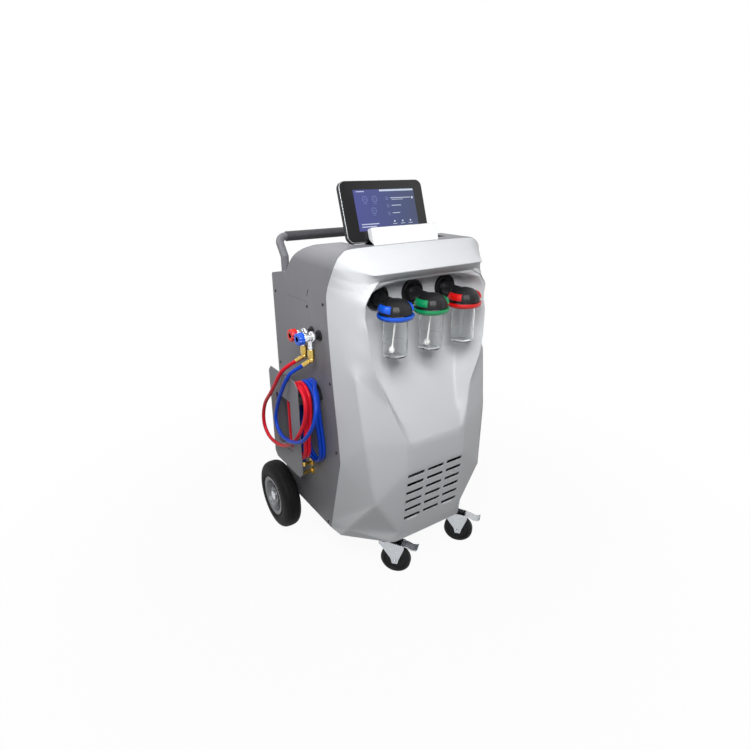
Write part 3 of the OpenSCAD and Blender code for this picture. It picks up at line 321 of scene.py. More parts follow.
# %% Finishes of the bottles, hoses and fittings
blue_gloss = finish("blue_gloss", tone(14, 88, 216), 0.26, drift=0.05, grain=900, relief=0.05)
green_gloss = finish("green_gloss", tone(10, 145, 88), 0.26, drift=0.05, grain=900, relief=0.05)
red_gloss = finish("red_gloss", tone(214, 18, 18), 0.26, drift=0.05, grain=900, relief=0.05)
red_rubber = finish("red_rubber", tone(214, 18, 42), 0.4, drift=0.08, cloud=40, grain=1400, relief=0.15,
                    sockets={"Specular IOR Level": 0.25})
blue_rubber = finish("blue_rubber", tone(4, 62, 184), 0.4, drift=0.08, cloud=40, grain=1400, relief=0.15,
                     sockets={"Specular IOR Level": 0.25})
chrome = finish("chrome", tone(226, 228, 231), 0.12, drift=0.04, grain=500, relief=0.02,
                sockets={"Metallic": 1.0})
brass = finish("brass", tone(206, 176, 98), 0.24, drift=0.08, cloud=90, grain=600, relief=0.04,
               sockets={"Metallic": 1.0})
clear_plastic = finish("clear_plastic", (0.97, 0.98, 0.98), 0.09, drift=0.01, grain=120, relief=0.03,
                       sockets={"Transmission Weight": 1.0, "IOR": 1.3})
milk_white = finish("milk_white", tone(238, 238, 236), 0.35, drift=0.02, cloud=60, relief=0.05)
print(len(bpy.data.materials), "materials in all")

# %% [markdown]
# ## Workshop helpers
# Most fittings here are turned on a lathe, so the main helper spins a profile of radius and height about an
# axis. Others are slabs with rounded corners. Each one is made at the origin in millimetres, where its
# sizes are easy to read, and then moved to its place. A last helper hands the finished mesh to the body
# that carries it.

# %% Places, turned forms and slabs
TO_METRES = Matrix.Scale(0.001, 4)
LEFT, DOWN, FORWARD, BACKWARD, ACROSS = (-1, 0, 0), (0, 0, -1), (0, -1, 0), (0, 1, 0), (1, 0, 0)


def spot(x, y, z, way=(0, 0, 1)):
    facing = Vector(way).to_track_quat("Z", "Y").to_matrix().to_4x4()
    return Matrix.Translation(at(x, y, z)) @ facing @ TO_METRES


def join_in(bm, part, place):
    bmesh.ops.remove_doubles(part, verts=part.verts, dist=1e-4)
    bmesh.ops.recalc_face_normals(part, faces=part.faces)
    part.transform(place)
    carrier = bpy.data.meshes.new("carrier")
    part.to_mesh(carrier)
    part.free()
    bm.from_mesh(carrier)
    bpy.data.meshes.remove(carrier)


def turned(bm, profile, place, steps=48, closed=False):
    part = bmesh.new()
    verts = [part.verts.new((r, 0, h)) for r, h in profile]
    edges = [part.edges.new(pair) for pair in zip(verts, verts[1:])]
    if closed:
        edges.append(part.edges.new((verts[-1], verts[0])))
    bmesh.ops.spin(part, geom=verts + edges, cent=(0, 0, 0), axis=(0, 0, 1), angle=2 * math.pi, steps=steps,
                   use_merge=True)
    join_in(bm, part, place)


def rounded(part, edges, width, segments):
    bmesh.ops.bevel(part, geom=edges, offset=width, segments=segments, profile=0.5, affect="EDGES",
                    material=-1)


def slab(bm, size, place, corner=0.0, edge=0.0):
    part = bmesh.new()
    bmesh.ops.create_cube(part, size=1, matrix=Matrix.Diagonal((*size, 1)))
    if corner:
        upright = [e for e in part.edges if (e.verts[0].co - e.verts[1].co).to_2d().length < 1e-6]
        rounded(part, upright, corner, 6)
    if edge:
        rounded(part, [e for e in part.edges if e.calc_face_angle(0) > 1.2], edge, 2)
    join_in(bm, part, place)


print("workshop helpers ready")

# %% Hand-over to a body
SHARP_BEND = 38


def hand_over(name, bm, material, body, slot, *stands_for, sharp=SHARP_BEND):
    mesh = bpy.data.meshes.new(name)
    bm.to_mesh(mesh)
    bm.free()
    mesh.materials.append(material)
    mesh.shade_smooth()
    mesh.set_sharp_from_angle(angle=math.radians(sharp))
    piece = bpy.data.objects.new(name, mesh)
    bpy.context.scene.collection.objects.link(piece)
    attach(piece, body)
    if stands_for:
        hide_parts(*stands_for)
    print(name, len(mesh.polygons), "faces")
    return piece


print("pieces are smooth below", SHARP_BEND, "degrees")

# %% [markdown]
# ## Service hoses
# Each hose leaves an elbow port low on the side, climbs to the saddle of the hanger, makes two turns there
# and then swings out in one free loop to its coupler. A mesh tube could be swept along that line, but a
# curve with a round bevel keeps its centre line, so its length can still be measured. The lanes of the
# turns lie one hose diameter apart, and each turn changes lane on its way down the front.

# %% Turns on the saddle
SADDLE_Y, SADDLE_Z, TURN_R, PORT_Z = 234, 592, 50, 340
RISE_STEPS, ARC_STEPS, FALL_STEPS, LEAVE_STEPS = 24, 14, 16, 6.5


def wound(lanes, drop):
    low = SADDLE_Z - drop
    rise = SADDLE_Z - PORT_Z
    line = [(lanes[0], SADDLE_Y + TURN_R, PORT_Z + k * rise / RISE_STEPS) for k in range(RISE_STEPS)]
    for lane, nxt in zip(lanes, lanes[1:]):
        for k in range(ARC_STEPS + 1):
            a = math.pi * k / ARC_STEPS
            line.append((lane, SADDLE_Y + TURN_R * math.cos(a), SADDLE_Z + TURN_R * math.sin(a)))
        for k in range(1, FALL_STEPS):
            s = k / FALL_STEPS
            x = lane + (nxt - lane) * s * s * (3 - 2 * s)
            line.append((x, SADDLE_Y - TURN_R, SADDLE_Z - s * drop))
        for k in range(ARC_STEPS + 1):
            a = math.pi * k / ARC_STEPS
            line.append((nxt, SADDLE_Y - TURN_R * math.cos(a), low - TURN_R * math.sin(a)))
        line += [(nxt, SADDLE_Y + TURN_R, low + k * drop / ARC_STEPS) for k in range(1, ARC_STEPS)]
    for k in range(math.floor(LEAVE_STEPS)):
        a = math.pi / 2 * k / LEAVE_STEPS
        line.append((lanes[-1], SADDLE_Y + TURN_R * math.cos(a), SADDLE_Z + TURN_R * math.sin(a)))
    return line


print("two turns of", TURN_R, "mm radius on the saddle")

# %% Free loops
def flowing(route, parts=5):
    route = [Vector(p) for p in route]
    line = []
    for k in range(len(route) - 1):
        a, b, c, d = (route[min(max(k + j, 0), len(route) - 1)] for j in (-1, 0, 1, 2))
        for t in (j / parts for j in range(parts)):
            square = (2 * a - 5 * b + 4 * c - d) * t * t
            cube = (3 * b - a - 3 * c + d) * t ** 3
            line.append(0.5 * (2 * b + (c - a) * t + square + cube))
    return line + [route[-1]]


red_way = [(-336, 240, 642), (-335, 208, 641), (-335, 178, 626), (-339, 160, 588), (-344, 168, 540),
           (-353, 194, 490), (-356, 240, 444), (-359, 298, 412), (-361, 353, 399), (-362, 407, 402),
           (-363, 438, 430), (-363, 439, 474), (-363, 412, 526), (-361, 367, 574), (-359, 325, 622),
           (-355, 303, 652), (-347, 285, 676), (-331, 270, 694), (-315, 256, 708)]
blue_way = [(-273, 240, 642), (-281, 204, 646), (-299, 174, 647), (-317, 138, 640), (-331, 108, 614),
            (-343, 100, 574), (-354, 116, 532), (-363, 150, 494), (-368, 202, 470), (-369, 250, 460),
            (-369, 286, 461), (-369, 310, 476), (-368, 322, 502), (-366, 318, 530), (-364, 296, 578),
            (-360, 268, 626), (-355, 253, 652), (-347, 239, 676), (-331, 224, 694), (-315, 210, 708)]
hose_lines = {"red": wound((-311.5, -323.5, -335.5), 147) + flowing(red_way),
              "blue": wound((-296.5, -284.5, -272.5), 174) + flowing(blue_way)}
print({name: len(line) for name, line in hose_lines.items()}, "points")

# %% Curves of the hoses
HOSE_RADIUS = 0.006
for name, rubber in (("red", red_rubber), ("blue", blue_rubber)):
    curve = bpy.data.curves.new(name + "_service_hose", "CURVE")
    curve.dimensions = "3D"
    curve.bevel_depth = HOSE_RADIUS
    curve.bevel_resolution = 4
    curve.use_fill_caps = True
    spline = curve.splines.new("POLY")
    spline.points.add(len(hose_lines[name]) - 1)
    for point, place in zip(spline.points, hose_lines[name]):
        point.co = (*at(*place), 1)
    spline.use_smooth = True
    curve.materials.append(rubber)
    hose = bpy.data.objects.new(name + "_service_hose", curve)
    bpy.context.scene.collection.objects.link(hose)
    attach(hose, "cabinet")
    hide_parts(name + "_hose", name + "_hank")
    print(hose.name, round(spline.calc_length(), 3), "m")

# %% [markdown]
# ## Quick couplers
# A coupler is a chromed sleeve on its parking spigot, with a ribbed valve knob at the end. Below it hangs a
# brass nut and an elbow, and a crimped ferrule holds the hose. Most of it is lathe work, so the sleeve, its
# neck and the ferrule are spun profiles along their own axes. The nut is a six-sided bar with rounded edges
# and the elbow a ball. The knob is a circle whose points are drawn in to make ten flutes, raised to a crown.

# %% Ribbed knob
def ribbed_knob(bm, place, radius=18.5, height=20, flutes=10, flute_depth=0.11):
    part = bmesh.new()
    bmesh.ops.create_circle(part, cap_ends=True, segments=12 * flutes, radius=radius)
    for v in part.verts:
        wave = 0.5 + 0.5 * math.cos(flutes * math.atan2(v.co.y, v.co.x))
        v.co *= 1 - flute_depth * wave ** 3
    top = bmesh.ops.extrude_face_region(part, geom=part.faces[:])["geom"]
    top_verts = [g for g in top if isinstance(g, bmesh.types.BMVert)]
    bmesh.ops.translate(part, verts=top_verts, vec=(0, 0, height - 3))
    crown = [f for f in part.faces if f.calc_center_median().z > height - 4]
    for inward, rise in ((1.5, 2), (2.5, 1), (5, -1.5)):
        bmesh.ops.inset_region(part, faces=crown, thickness=inward, depth=0)
        bmesh.ops.translate(part, verts=list({v for f in crown for v in f.verts}), vec=(0, 0, rise))
    join_in(bm, part, place)


print("ribbed knob ready")

# %% Couplers with their hoses
PARK_X, DROP_X, KNOB_X = -283.3, -295.3, -319.6
PARK_Z, NUT_Z, ELBOW_Z = 796, 745, 726
BARREL = (-0.62, 0.55, -0.56)
SLEEVE = [(0, 0), (11, 0), (15, 1), (16, 3), (16, 8), (15.2, 9.5), (13.3, 10), (13.3, 16), (12.2, 17),
          (12.2, 19), (13.3, 20), (13.5, 30), (12, 34), (9, 36), (6, 36.2), (6, 47.5), (0, 47.5)]
NECK = [(0, 0), (7.5, 0), (7.5, 26), (8.5, 27), (8.5, 33), (7, 34), (7, 40), (0, 40)]
CRIMPS = [(7.5 - 0.6 * (k % 2), 11 + 2.4 * k) for k in range(8)]
FERRULE = [(0, 0), (6.2, 0), (6.2, 8), (7.4, 9)] + CRIMPS + [(7.4, 31), (6.4, 32), (0, 32)]
for name, y, gloss in (("red", 238, red_gloss), ("blue", 192, blue_gloss)):
    body = bmesh.new()
    turned(body, SLEEVE, spot(PARK_X, y, PARK_Z, LEFT))
    turned(body, NECK, spot(DROP_X, y, PARK_Z, DOWN))
    sleeve = hand_over(name + "_coupler_sleeve", body, chrome, "cabinet", "coupler_chrome",
                       name + "_coupler", sharp=30)
    gold = bmesh.new()
    nut = bmesh.new()
    bmesh.ops.create_cone(nut, cap_ends=True, segments=6, radius1=11, radius2=11, depth=26)
    rounded(nut, nut.edges[:], 0.9, 2)
    join_in(gold, nut, spot(DROP_X, y, NUT_Z))
    elbow = bmesh.new()
    bmesh.ops.create_uvsphere(elbow, u_segments=24, v_segments=16, radius=9.6)
    join_in(gold, elbow, spot(DROP_X, y, ELBOW_Z))
    turned(gold, FERRULE, spot(DROP_X, y, ELBOW_Z, BARREL))
    ferrule = hand_over(name + "_coupler_brass", gold, brass, "cabinet", "coupler_chrome",
                        name + "_coupler", sharp=30)
    grip = bmesh.new()
    ribbed_knob(grip, spot(KNOB_X, y, PARK_Z, LEFT))
    knob = hand_over(name + "_valve_knob", grip, gloss, name + "_knob", name + "_gloss", name + "_knob",
                     sharp=50)
    start = at(*hose_lines[name][0])

# %% [markdown]
# ## Front shell
# The front is one deep moulding: skirt, vents, scoop, bottle bay, lip and visor. Its CAD facets carry the
# creases. They could be shaded smooth as they are, but a real moulding has rounded creases and a rounded
# outline. So a merged copy gets Subdivision Surface with a crease weight on each edge: full on rims and
# slots, high along the scoop's rim and where the facets of the lower half meet in crisp lines, medium on
# the fold of the visor, and next to none elsewhere in the upper half, which flows softly.

# %% Lines on the shell
def merged_copy(node):
    bm = bmesh.new()
    bm.from_mesh(nodes[node].data)
    bmesh.ops.remove_doubles(bm, verts=bm.verts, dist=2e-6)
    return bm


def path_gap(point, path):
    point = Vector((abs(point.x), point.y, point.z))
    gaps = []
    for a, b in zip(path, path[1:]):
        along = min(1, max(0, intersect_point_line(point, a, b)[1]))
        gaps.append((point - a.lerp(b, along)).length)
    return min(gaps)


scoop_rim = [at(114, -40, 490), at(134, -24, 552), at(152, -9, 610), at(198, -5, 712)]
visor_fold = [at(252, 54, 860), at(240, 46, 904), at(216, 28, 938), at(192, 8, 970)]
visor_end = [at(240, 46, 904), at(222, 32, 930)]
visor_bend = [at(178, -3, 991), at(0, -4, 991)]
bay_corner = [at(202, 10, 872), at(196, 14, 912), at(177, 8, 944), at(154, 2, 963), at(0, 2, 964)]
shell = merged_copy("front_shell")
bmesh.ops.join_triangles(shell, faces=shell.faces[:], angle_face_threshold=math.radians(4),
                         angle_shape_threshold=math.radians(60))
print("front shell with", len(shell.faces), "facets")

# %% Crease weights
FULL, CRISP, FOLD, SOFT = 1, 0.9, 0.4, 0.1
RIM_BEND, FLAT_BEND = 48, 7
CRISP_BELOW, SKIRT_LINE = 0.495, 0.166


def follows(edge, path):
    return all(path_gap(v.co, path) < 0.001 for v in edge.verts)


def crease_weight(edge):
    bend = math.degrees(edge.calc_face_angle(0))
    height = (edge.verts[0].co.z + edge.verts[1].co.z) / 2
    if bend > RIM_BEND:
        return FULL
    if follows(edge, scoop_rim):
        return CRISP
    if follows(edge, visor_fold):
        return FOLD
    if bend < FLAT_BEND or all(abs(v.co.z - SKIRT_LINE) < 0.004 for v in edge.verts):
        return 0
    return CRISP if height < CRISP_BELOW else SOFT


crease = shell.edges.layers.float.new("crease_edge")
for e in shell.edges:
    e[crease] = crease_weight(e)
print(sum(e[crease] > 0.5 for e in shell.edges), "crisp edges")

# %% [markdown]
# ## Fold of the visor
# At each end of the visor its lower edge turns down into the pillar and leaves a shaded fold beside the
# bay. Such a form is quicker to sculpt than to draw. Points at the visor's ends are drawn outward with a
# soft fall-off, and the upper half is relaxed by smoothing passes. Then the corner of the bay is pushed
# back and the visor's lower edge is rolled in. The order matters: many smoothing passes at the end would
# fill the hollow again, so only a few follow.

# %% Points that may move
def fall_off(gap, reach):
    near = max(0, 1 - gap / reach)
    return near * near * (3 - 2 * near)


def relaxed(verts, passes):
    for smoothing in range(passes):
        bmesh.ops.smooth_vert(shell, verts=verts, factor=0.5, use_axis_x=True, use_axis_y=True,
                              use_axis_z=True)


def at_height(vert, span):
    return span[0] < vert.co.z < span[1]


UPPER_HALF = 0.52
LIP, LIP_TO = (0.955, 1.015), 0.185
CORNER, CORNER_FROM = (0.925, 1.035), 0.155
PILLAR, PILLAR_FROM = (0.8, 1.035), 0.225
flowing_verts = [v for v in shell.verts
                 if v.co.z > UPPER_HALF and not any(e[crease] > 0.5 for e in v.link_edges)]
lip_verts = [v for v in flowing_verts if at_height(v, LIP) and abs(v.co.x) < LIP_TO]
corner_verts = [v for v in flowing_verts if (at_height(v, CORNER) and abs(v.co.x) > CORNER_FROM) or
                (at_height(v, PILLAR) and abs(v.co.x) > PILLAR_FROM)]
print(len(flowing_verts), "points of the upper half flow")

# %% Moulded front
END_OUT, END_FORWARD, END_REACH = 0.012, 0.009, 0.034
BAY_DEPTH, BAY_REACH = 0.03, 0.025
LIP_ROLL, LIP_REACH = 0.006, 0.02
for v in shell.verts:
    bulge = fall_off(path_gap(v.co, visor_end), END_REACH)
    v.co += Vector((math.copysign(END_OUT, v.co.x) * bulge, -END_FORWARD * bulge, 0))
relaxed(flowing_verts, 5)
relaxed(corner_verts, 12)
for v in shell.verts:
    hollow = BAY_DEPTH * fall_off(path_gap(v.co, bay_corner), BAY_REACH)
    rolled = LIP_ROLL * fall_off(path_gap(v.co, visor_bend), LIP_REACH)
    v.co.y += hollow + rolled
relaxed(flowing_verts, 2)
relaxed(lip_verts, 6)
front = hand_over("front_moulding", shell, moulded_grey, "cabinet", "shell_plastic", "front_shell", sharp=50)
smooth = front.modifiers.new("rounded_creases", "SUBSURF")
smooth.levels = smooth.render_levels = 2

# %% [markdown]
# ## Sheet metal and pressed pieces
# Bent sheet never has a knife edge: the cut is deburred and the paint rounds it further. The CAD solids are
# right in shape, so each one is copied, its flat faces are merged, and a narrow Bevel modifier rounds the
# edges so that they catch the light. A table lists each piece with its finish, its slot and the width of
# that edge in millimetres.

# %% Covers, trays, brackets and running gear
SOFTENED = (
    ("hood", powder_grey, "sheet_grey", 0.7),
    ("left_rear_sheet", powder_grey, "sheet_grey", 0.7),
    ("right_rear_sheet", powder_grey, "sheet_grey", 0.7),
    ("rear_panel", powder_grey, "sheet_grey", 0.5),
    ("rear_deck", powder_grey, "sheet_grey", 0.6),
    ("hose_hanger", powder_grey, "sheet_grey", 0.8),
    ("push_handle", tube_grey, "sheet_grey", 0.8),
    ("tool_tray", black_plastic, "black_plastic", 0.8),
    ("base_tray", base_steel, "base_steel", 0.7),
    ("rear_axle", base_steel, "base_steel", 0.8),
    ("axle_caps", zinc_plate, "zinc_steel", 1.2),
    ("caster_mounts", zinc_plate, "zinc_steel", 0.8),
    ("left_caster_fork", zinc_plate, "zinc_steel", 0.7),
    ("right_caster_fork", zinc_plate, "zinc_steel", 0.7),
    ("left_caster_pedal", zinc_plate, "zinc_steel", 0.8),
    ("right_caster_pedal", zinc_plate, "zinc_steel", 0.8),
    ("left_caster_wheel", caster_rubber, "caster_rubber", 1.2),
    ("right_caster_wheel", caster_rubber, "caster_rubber", 1.2),
    ("left_rim", rim_silver, "rim_silver", 0.8),
    ("right_rim", rim_silver, "rim_silver", 0.8),
    ("tablet_holder", gloss_white, "holder_white", 2.4),
    ("coupler_parks", black_plastic, "black_plastic", 0.8),
    ("hose_ports", brass, "coupler_chrome", 0.8),
    ("mains_inlet", black_plastic, "black_plastic", 0.5),
    ("mains_rocker", black_plastic, "black_plastic", 0.6),
)
for node, material, slot, edge in SOFTENED:
    bm = merged_copy(node)
    bmesh.ops.dissolve_limit(bm, angle_limit=math.radians(0.6), verts=bm.verts[:], edges=bm.edges[:])
    piece = hand_over(node + "_finished", bm, material, nodes[node]["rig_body"], slot, node)
    rim = piece.modifiers.new("soft_edge", "BEVEL")
    rim.width = edge / 1000
    rim.segments = 2
    rim.limit_method = "ANGLE"
    rim.angle_limit = math.radians(SHARP_BEND)
    rim.harden_normals = True

# %% [markdown]
# ## Saddle of the hanger
# The block that the hose turns rest on is painted black as shade, for the shadow that falls on it inside the
# hanger. It is one solid with the grey plate, so it could be cut off as a piece of its own, but it is
# quicker to pick its faces by their place and give them a second material slot.

# %% Saddle painted black as shade
saddle_shade_low, saddle_shade_high = at(-344, 188, 588), at(-264, 280, 640)
hanger = bpy.data.objects["hose_hanger_finished"].data
# painted shade: the saddle's faces get black plastic to stand for the shadow inside the hanger
hanger.materials.append(black_plastic)
for face in hanger.polygons:
    if all(saddle_shade_low[k] < face.center[k] < saddle_shade_high[k] for k in range(3)):
        face.material_index = 1
print(sum(face.material_index for face in hanger.polygons), "faces of the saddle in black")

# %% [markdown]
# ## Screws of the side sheets
# The sheets are held by black pan-head screws. A screw is a small turned head with a socket in its middle,
# so one spun profile, repeated at each place, is enough. The places are the same as in the CAD source.

# %% Pan-head screws
SIDE_X = 265
SCREW_PLACES = ((164, 893), (140, 660), (117, 440), (190, 143),
                (263, 868), (486, 876), (490, 625), (490, 300))
SCREW_HEAD = [(4.5, 0), (4.5, 0.7), (4, 1.5), (3, 2), (1.8, 2), (1.6, 0.9), (0, 0.9)]
heads = bmesh.new()
for y, z in SCREW_PLACES:
    for s in (-1, 1):
        turned(heads, SCREW_HEAD, spot(s * SIDE_X, y, z, (s, 0, 0)), steps=20)
hand_over("sheet_screws", heads, black_plastic, "cabinet", "black_plastic", "panel_screws")

# %% [markdown]
# ## Wheels
# The rear tyres are pneumatic, with a rounded sidewall, a fitting ring near the rim and narrow grooves
# round the crown. A tread could be cut block by block, but this one runs round the tyre, so its grooves are
# just steps in the profile, and one spin about the axle makes the whole tyre.

# %% Tyres
WHEEL_X = 316
BEAD = [(64.2, 21), (67, 24.4), (71, 26.9), (76, 29.2), (79, 30.2)]
FITTING_RING = [(80, 29.4), (82, 29.6)]
SIDEWALL = [(83, 31.2), (88, 32.3), (95, 32.6), (103, 31.3), (110, 29.2), (115.5, 26.8), (119.2, 23.6),
            (121.8, 19.6), (123.4, 15.6)]
GROOVES = [(123.9, 13.6), (122.6, 13.0), (122.6, 11.8), (124.4, 11.2), (124.8, 7.8), (123.4, 7.2),
           (123.4, 6.0), (124.9, 5.4), (125, 2.2), (123.6, 1.6), (123.6, 0.6)]
half_tyre = BEAD + FITTING_RING + SIDEWALL + GROOVES
tyre_line = [(r, -h) for r, h in half_tyre] + [(r, h) for r, h in reversed(half_tyre)]
for name, s in (("left", -1), ("right", 1)):
    rubber = bmesh.new()
    turned(rubber, tyre_line, spot(s * WHEEL_X, AXLE_Y, AXLE_Z, (s, 0, 0)), steps=96, closed=True)
    hand_over(name + "_pneumatic_tyre", rubber, tyre_rubber, name + "_wheel", "tyre_rubber", name + "_tyre",
              sharp=42)

# %% [markdown]
# ## Handle grip
# The cross bar carries a soft sleeve with fine rings. The rings are part of the spun profile, so they stay
# real relief in any light.

# %% Soft grip
GRIP_LENGTH, GRIP_Y, GRIP_Z = 400, 521.33, 1042.5
BORE_R, END_R, SHOULDER_R, RING_R, GROOVE_R = 13.2, 15.2, 15.9, 16, 15.6
RINGS, RING_PITCH = 65, 6.1
sleeve_line = [(BORE_R, 0), (END_R, 0), (SHOULDER_R, 1)]
for k in range(RINGS):
    for r, h in ((RING_R, 2), (RING_R, 6.4), (GROOVE_R, 6.9), (GROOVE_R, 7.5)):
        sleeve_line.append((r, h + RING_PITCH * k))
sleeve_line += [(SHOULDER_R, GRIP_LENGTH - 1), (END_R, GRIP_LENGTH), (BORE_R, GRIP_LENGTH)]
soft = bmesh.new()
turned(soft, sleeve_line, spot(-GRIP_LENGTH / 2, GRIP_Y, GRIP_Z, ACROSS), steps=32, closed=True)
hand_over("handle_sleeve", soft, grip_rubber, "cabinet", "grip_rubber", "handle_grip", sharp=50)

# %% [markdown]
# ## Bottles
# Each bottle is a clear jar with a coloured collar and a black cap that plugs onto the wall. The profile of
# a jar runs up its outside and down its inside, so the wall has a real thickness and light bends in it. The
# cap is spun in few steps on purpose: the flat panels of the real cap then come from the lathe itself.

# %% Jars, collars and caps
BOTTLE_PITCH, BOTTLE_Y = 126, 7
JAR_Z, COLLAR_Z, CAP_Z, PLUG_Z = 758, 865, 880.4, 908
JAR = [(0, 4), (19, 0), (29, 0), (33.5, 2), (35, 8), (35, 40), (35.5, 40.6), (35.5, 41.6), (35, 42.2),
       (35, 121.9), (32, 121.9), (32, 10), (28, 5), (0, 8)]
COLLAR = [(35.2, 0), (43, 0), (49, 2.6), (52, 7.5), (52.4, 11), (51.4, 14.2), (49.6, 15), (47.6, 14.4),
          (46, 12), (35.2, 12)]
CAP = [(0, 0), (45, 0), (46.3, 1.2), (46.4, 10.5), (44.6, 17), (39.8, 25.6), (33, 31.6), (24, 36.8),
       (12.5, 39.8), (0, 40.6)]
PLUG = [(0, 0), (12, 0), (12, 56), (14, 64), (19, 72), (23, 77), (23, 82), (8.4, 82), (8.4, 50), (0, 50)]
bottle_places = (("blue", -BOTTLE_PITCH, blue_gloss),
                 ("green", 0, green_gloss),
                 ("red", BOTTLE_PITCH, red_gloss))
for name, x, gloss in bottle_places:
    carrier = name + "_bottle"
    jar = bmesh.new()
    turned(jar, JAR, spot(x, BOTTLE_Y, JAR_Z), steps=64)
    hand_over(name + "_clear_jar", jar, clear_plastic, carrier, "clear_jar", name + "_jar")
    collar = bmesh.new()
    turned(collar, COLLAR, spot(x, BOTTLE_Y, COLLAR_Z), steps=72, closed=True)
    hand_over(name + "_bowl_collar", collar, gloss, carrier, name + "_gloss", name + "_collar")
    cap = bmesh.new()
    turned(cap, CAP, spot(x, BOTTLE_Y, CAP_Z), steps=16)
    turned(cap, PLUG, spot(x, BOTTLE_Y, PLUG_Z, BACKWARD), steps=40)
    hand_over(name + "_domed_cap", cap, black_plastic, carrier, "black_plastic", name + "_cap", sharp=19)

# %% [markdown]
# ## Latches, tubes and wall couplings
# A coloured pad on each side of the cap releases the bottle. Its section is drawn once and spun through a
# short arc, which follows the cap. A thin tube hangs in each jar, with a ball at its end in the blue and
# the green one, and the wall coupling is a turned disc with a raised ring.

# %% Latch pads
PAD = [(45.6, 8), (48.8, 8.4), (50, 10.6), (49.4, 17.5), (46.8, 23), (43.2, 27.2), (40.6, 27.6),
       (38.5, 26.4), (43.6, 17)]
PAD_STARTS, PAD_ARC = (143, 333), 64
for name, x, gloss in bottle_places:
    pads = bmesh.new()
    for begin in PAD_STARTS:
        part = bmesh.new()
        start = Matrix.Rotation(math.radians(begin), 3, "Z")
        outline = [part.verts.new(start @ Vector((r, 0, h))) for r, h in PAD]
        section = part.faces.new(outline)
        bmesh.ops.spin(part, geom=[section] + section.edges[:] + outline, cent=(0, 0, 0), axis=(0, 0, 1),
                       angle=math.radians(PAD_ARC), steps=16)
        join_in(pads, part, spot(x, BOTTLE_Y, CAP_Z))
    hand_over(name + "_latch_pads", pads, gloss, name + "_latch", name + "_gloss", name + "_latch", sharp=42)

# %% Dip tubes
TUBE_R = 2.4
BALL = [(0, -9), (4, -8.4), (7.5, -5), (9, 0), (7.5, 5), (4, 8.4), (TUBE_R, 9)]
tube_finish = {"blue": milk_white, "green": milk_white, "red": clear_plastic}
for name, x, gloss in bottle_places:
    foot, head = Vector((x - 17, 1, 781)), Vector((x + 2, 7, 876))
    way = head - foot
    stem = bmesh.new()
    turned(stem, [(0, 0), (TUBE_R, 0), (TUBE_R, way.length), (0, way.length)], spot(*foot, way), steps=16)
    if name != "red":
        turned(stem, BALL, spot(*foot, way), steps=24)
    hand_over(name + "_dip_tube", stem, tube_finish[name], name + "_bottle", "clear_jar", name + "_cap")

# %% Wall couplings
WALL_Y = 99.7
DISC = [(0, -4.8), (7.4, -4.8), (7.4, 0), (38, 0), (38, 6), (36, 9.2), (32.5, 10), (30.5, 8.6), (27, 4.5),
        (20, 4), (16, 9), (8, 9.6), (8, 38), (6.5, 39.8), (0, 39.8)]
discs = bmesh.new()
for name, x, gloss in bottle_places:
    turned(discs, DISC, spot(x, WALL_Y, PLUG_Z, FORWARD), steps=56)
hand_over("wall_couplings", discs, black_plastic, "cabinet", "black_plastic", "bottle_docks")

# %% [markdown]
# ## Tablet
# The tablet is a dark glass front in a rubber case, with a thin bright rim between the two. Its picture
# could be an image, but plain bars, rings and dots of glowing material need no file. They are laid on the
# glass in tenths of a millimetre, so they stay close to the CAD slab and pass the holder's lip. The
# background runs from violet to teal along its width.

# %% Glowing finishes
SCREEN_LEFT, SCREEN_RIGHT = -0.17, 0.06


def lit(name, colour, other, strength):
    material = finish(name, [c * 0.2 for c in colour], 0.3, grain=400, relief=0.0)
    tree = material.node_tree
    shader = tree.nodes["Principled BSDF"]
    spot_node = tree.nodes.new("ShaderNodeTexCoord")
    apart = tree.nodes.new("ShaderNodeSeparateXYZ")
    across = tree.nodes.new("ShaderNodeMapRange")
    across.inputs["From Min"].default_value = SCREEN_LEFT
    across.inputs["From Max"].default_value = SCREEN_RIGHT
    ramp = tree.nodes.new("ShaderNodeValToRGB")
    ramp.color_ramp.elements[0].color = [*colour, 1]
    ramp.color_ramp.elements[1].color = [*other, 1]
    tree.links.new(spot_node.outputs["Object"], apart.inputs[0])
    tree.links.new(apart.outputs["X"], across.inputs["Value"])
    tree.links.new(across.outputs["Result"], ramp.inputs["Fac"])
    tree.links.new(ramp.outputs["Color"], shader.inputs["Emission Color"])
    shader.inputs["Emission Strength"].default_value = strength
    return material


screen_blue = lit("screen_blue", tone(62, 68, 138), tone(34, 54, 70), 0.8)
screen_ring = lit("screen_ring", tone(112, 124, 190), tone(120, 140, 170), 0.7)
screen_pale = lit("screen_pale", tone(196, 204, 232), tone(206, 220, 228), 0.7)
tablet_black = finish("tablet_black", tone(20, 20, 22), 0.26, drift=0.1, grain=900, relief=0.04,
                      sockets={"Specular IOR Level": 0.2})
case_rubber = finish("case_rubber", tone(58, 58, 60), 0.7, drift=0.1, grain=900, relief=0.04,
                     sockets={"Specular IOR Level": 0.1})
print("screen finishes ready")

# %% Case, glass, rim and picture
TABLET_LEAN, TABLET_MIDDLE_X, TABLET_MIDDLE_Z = 18, -59, 82
foot_of_tablet = Matrix.Translation(at(0, 119, 1060))
lean = foot_of_tablet @ Matrix.Rotation(math.radians(-TABLET_LEAN), 4, "X") @ TO_METRES


def on_tablet(u, v, depth):
    place = Matrix.Translation((TABLET_MIDDLE_X + u, depth, TABLET_MIDDLE_Z + v))
    return lean @ place @ Matrix.Rotation(math.radians(90), 4, "X")


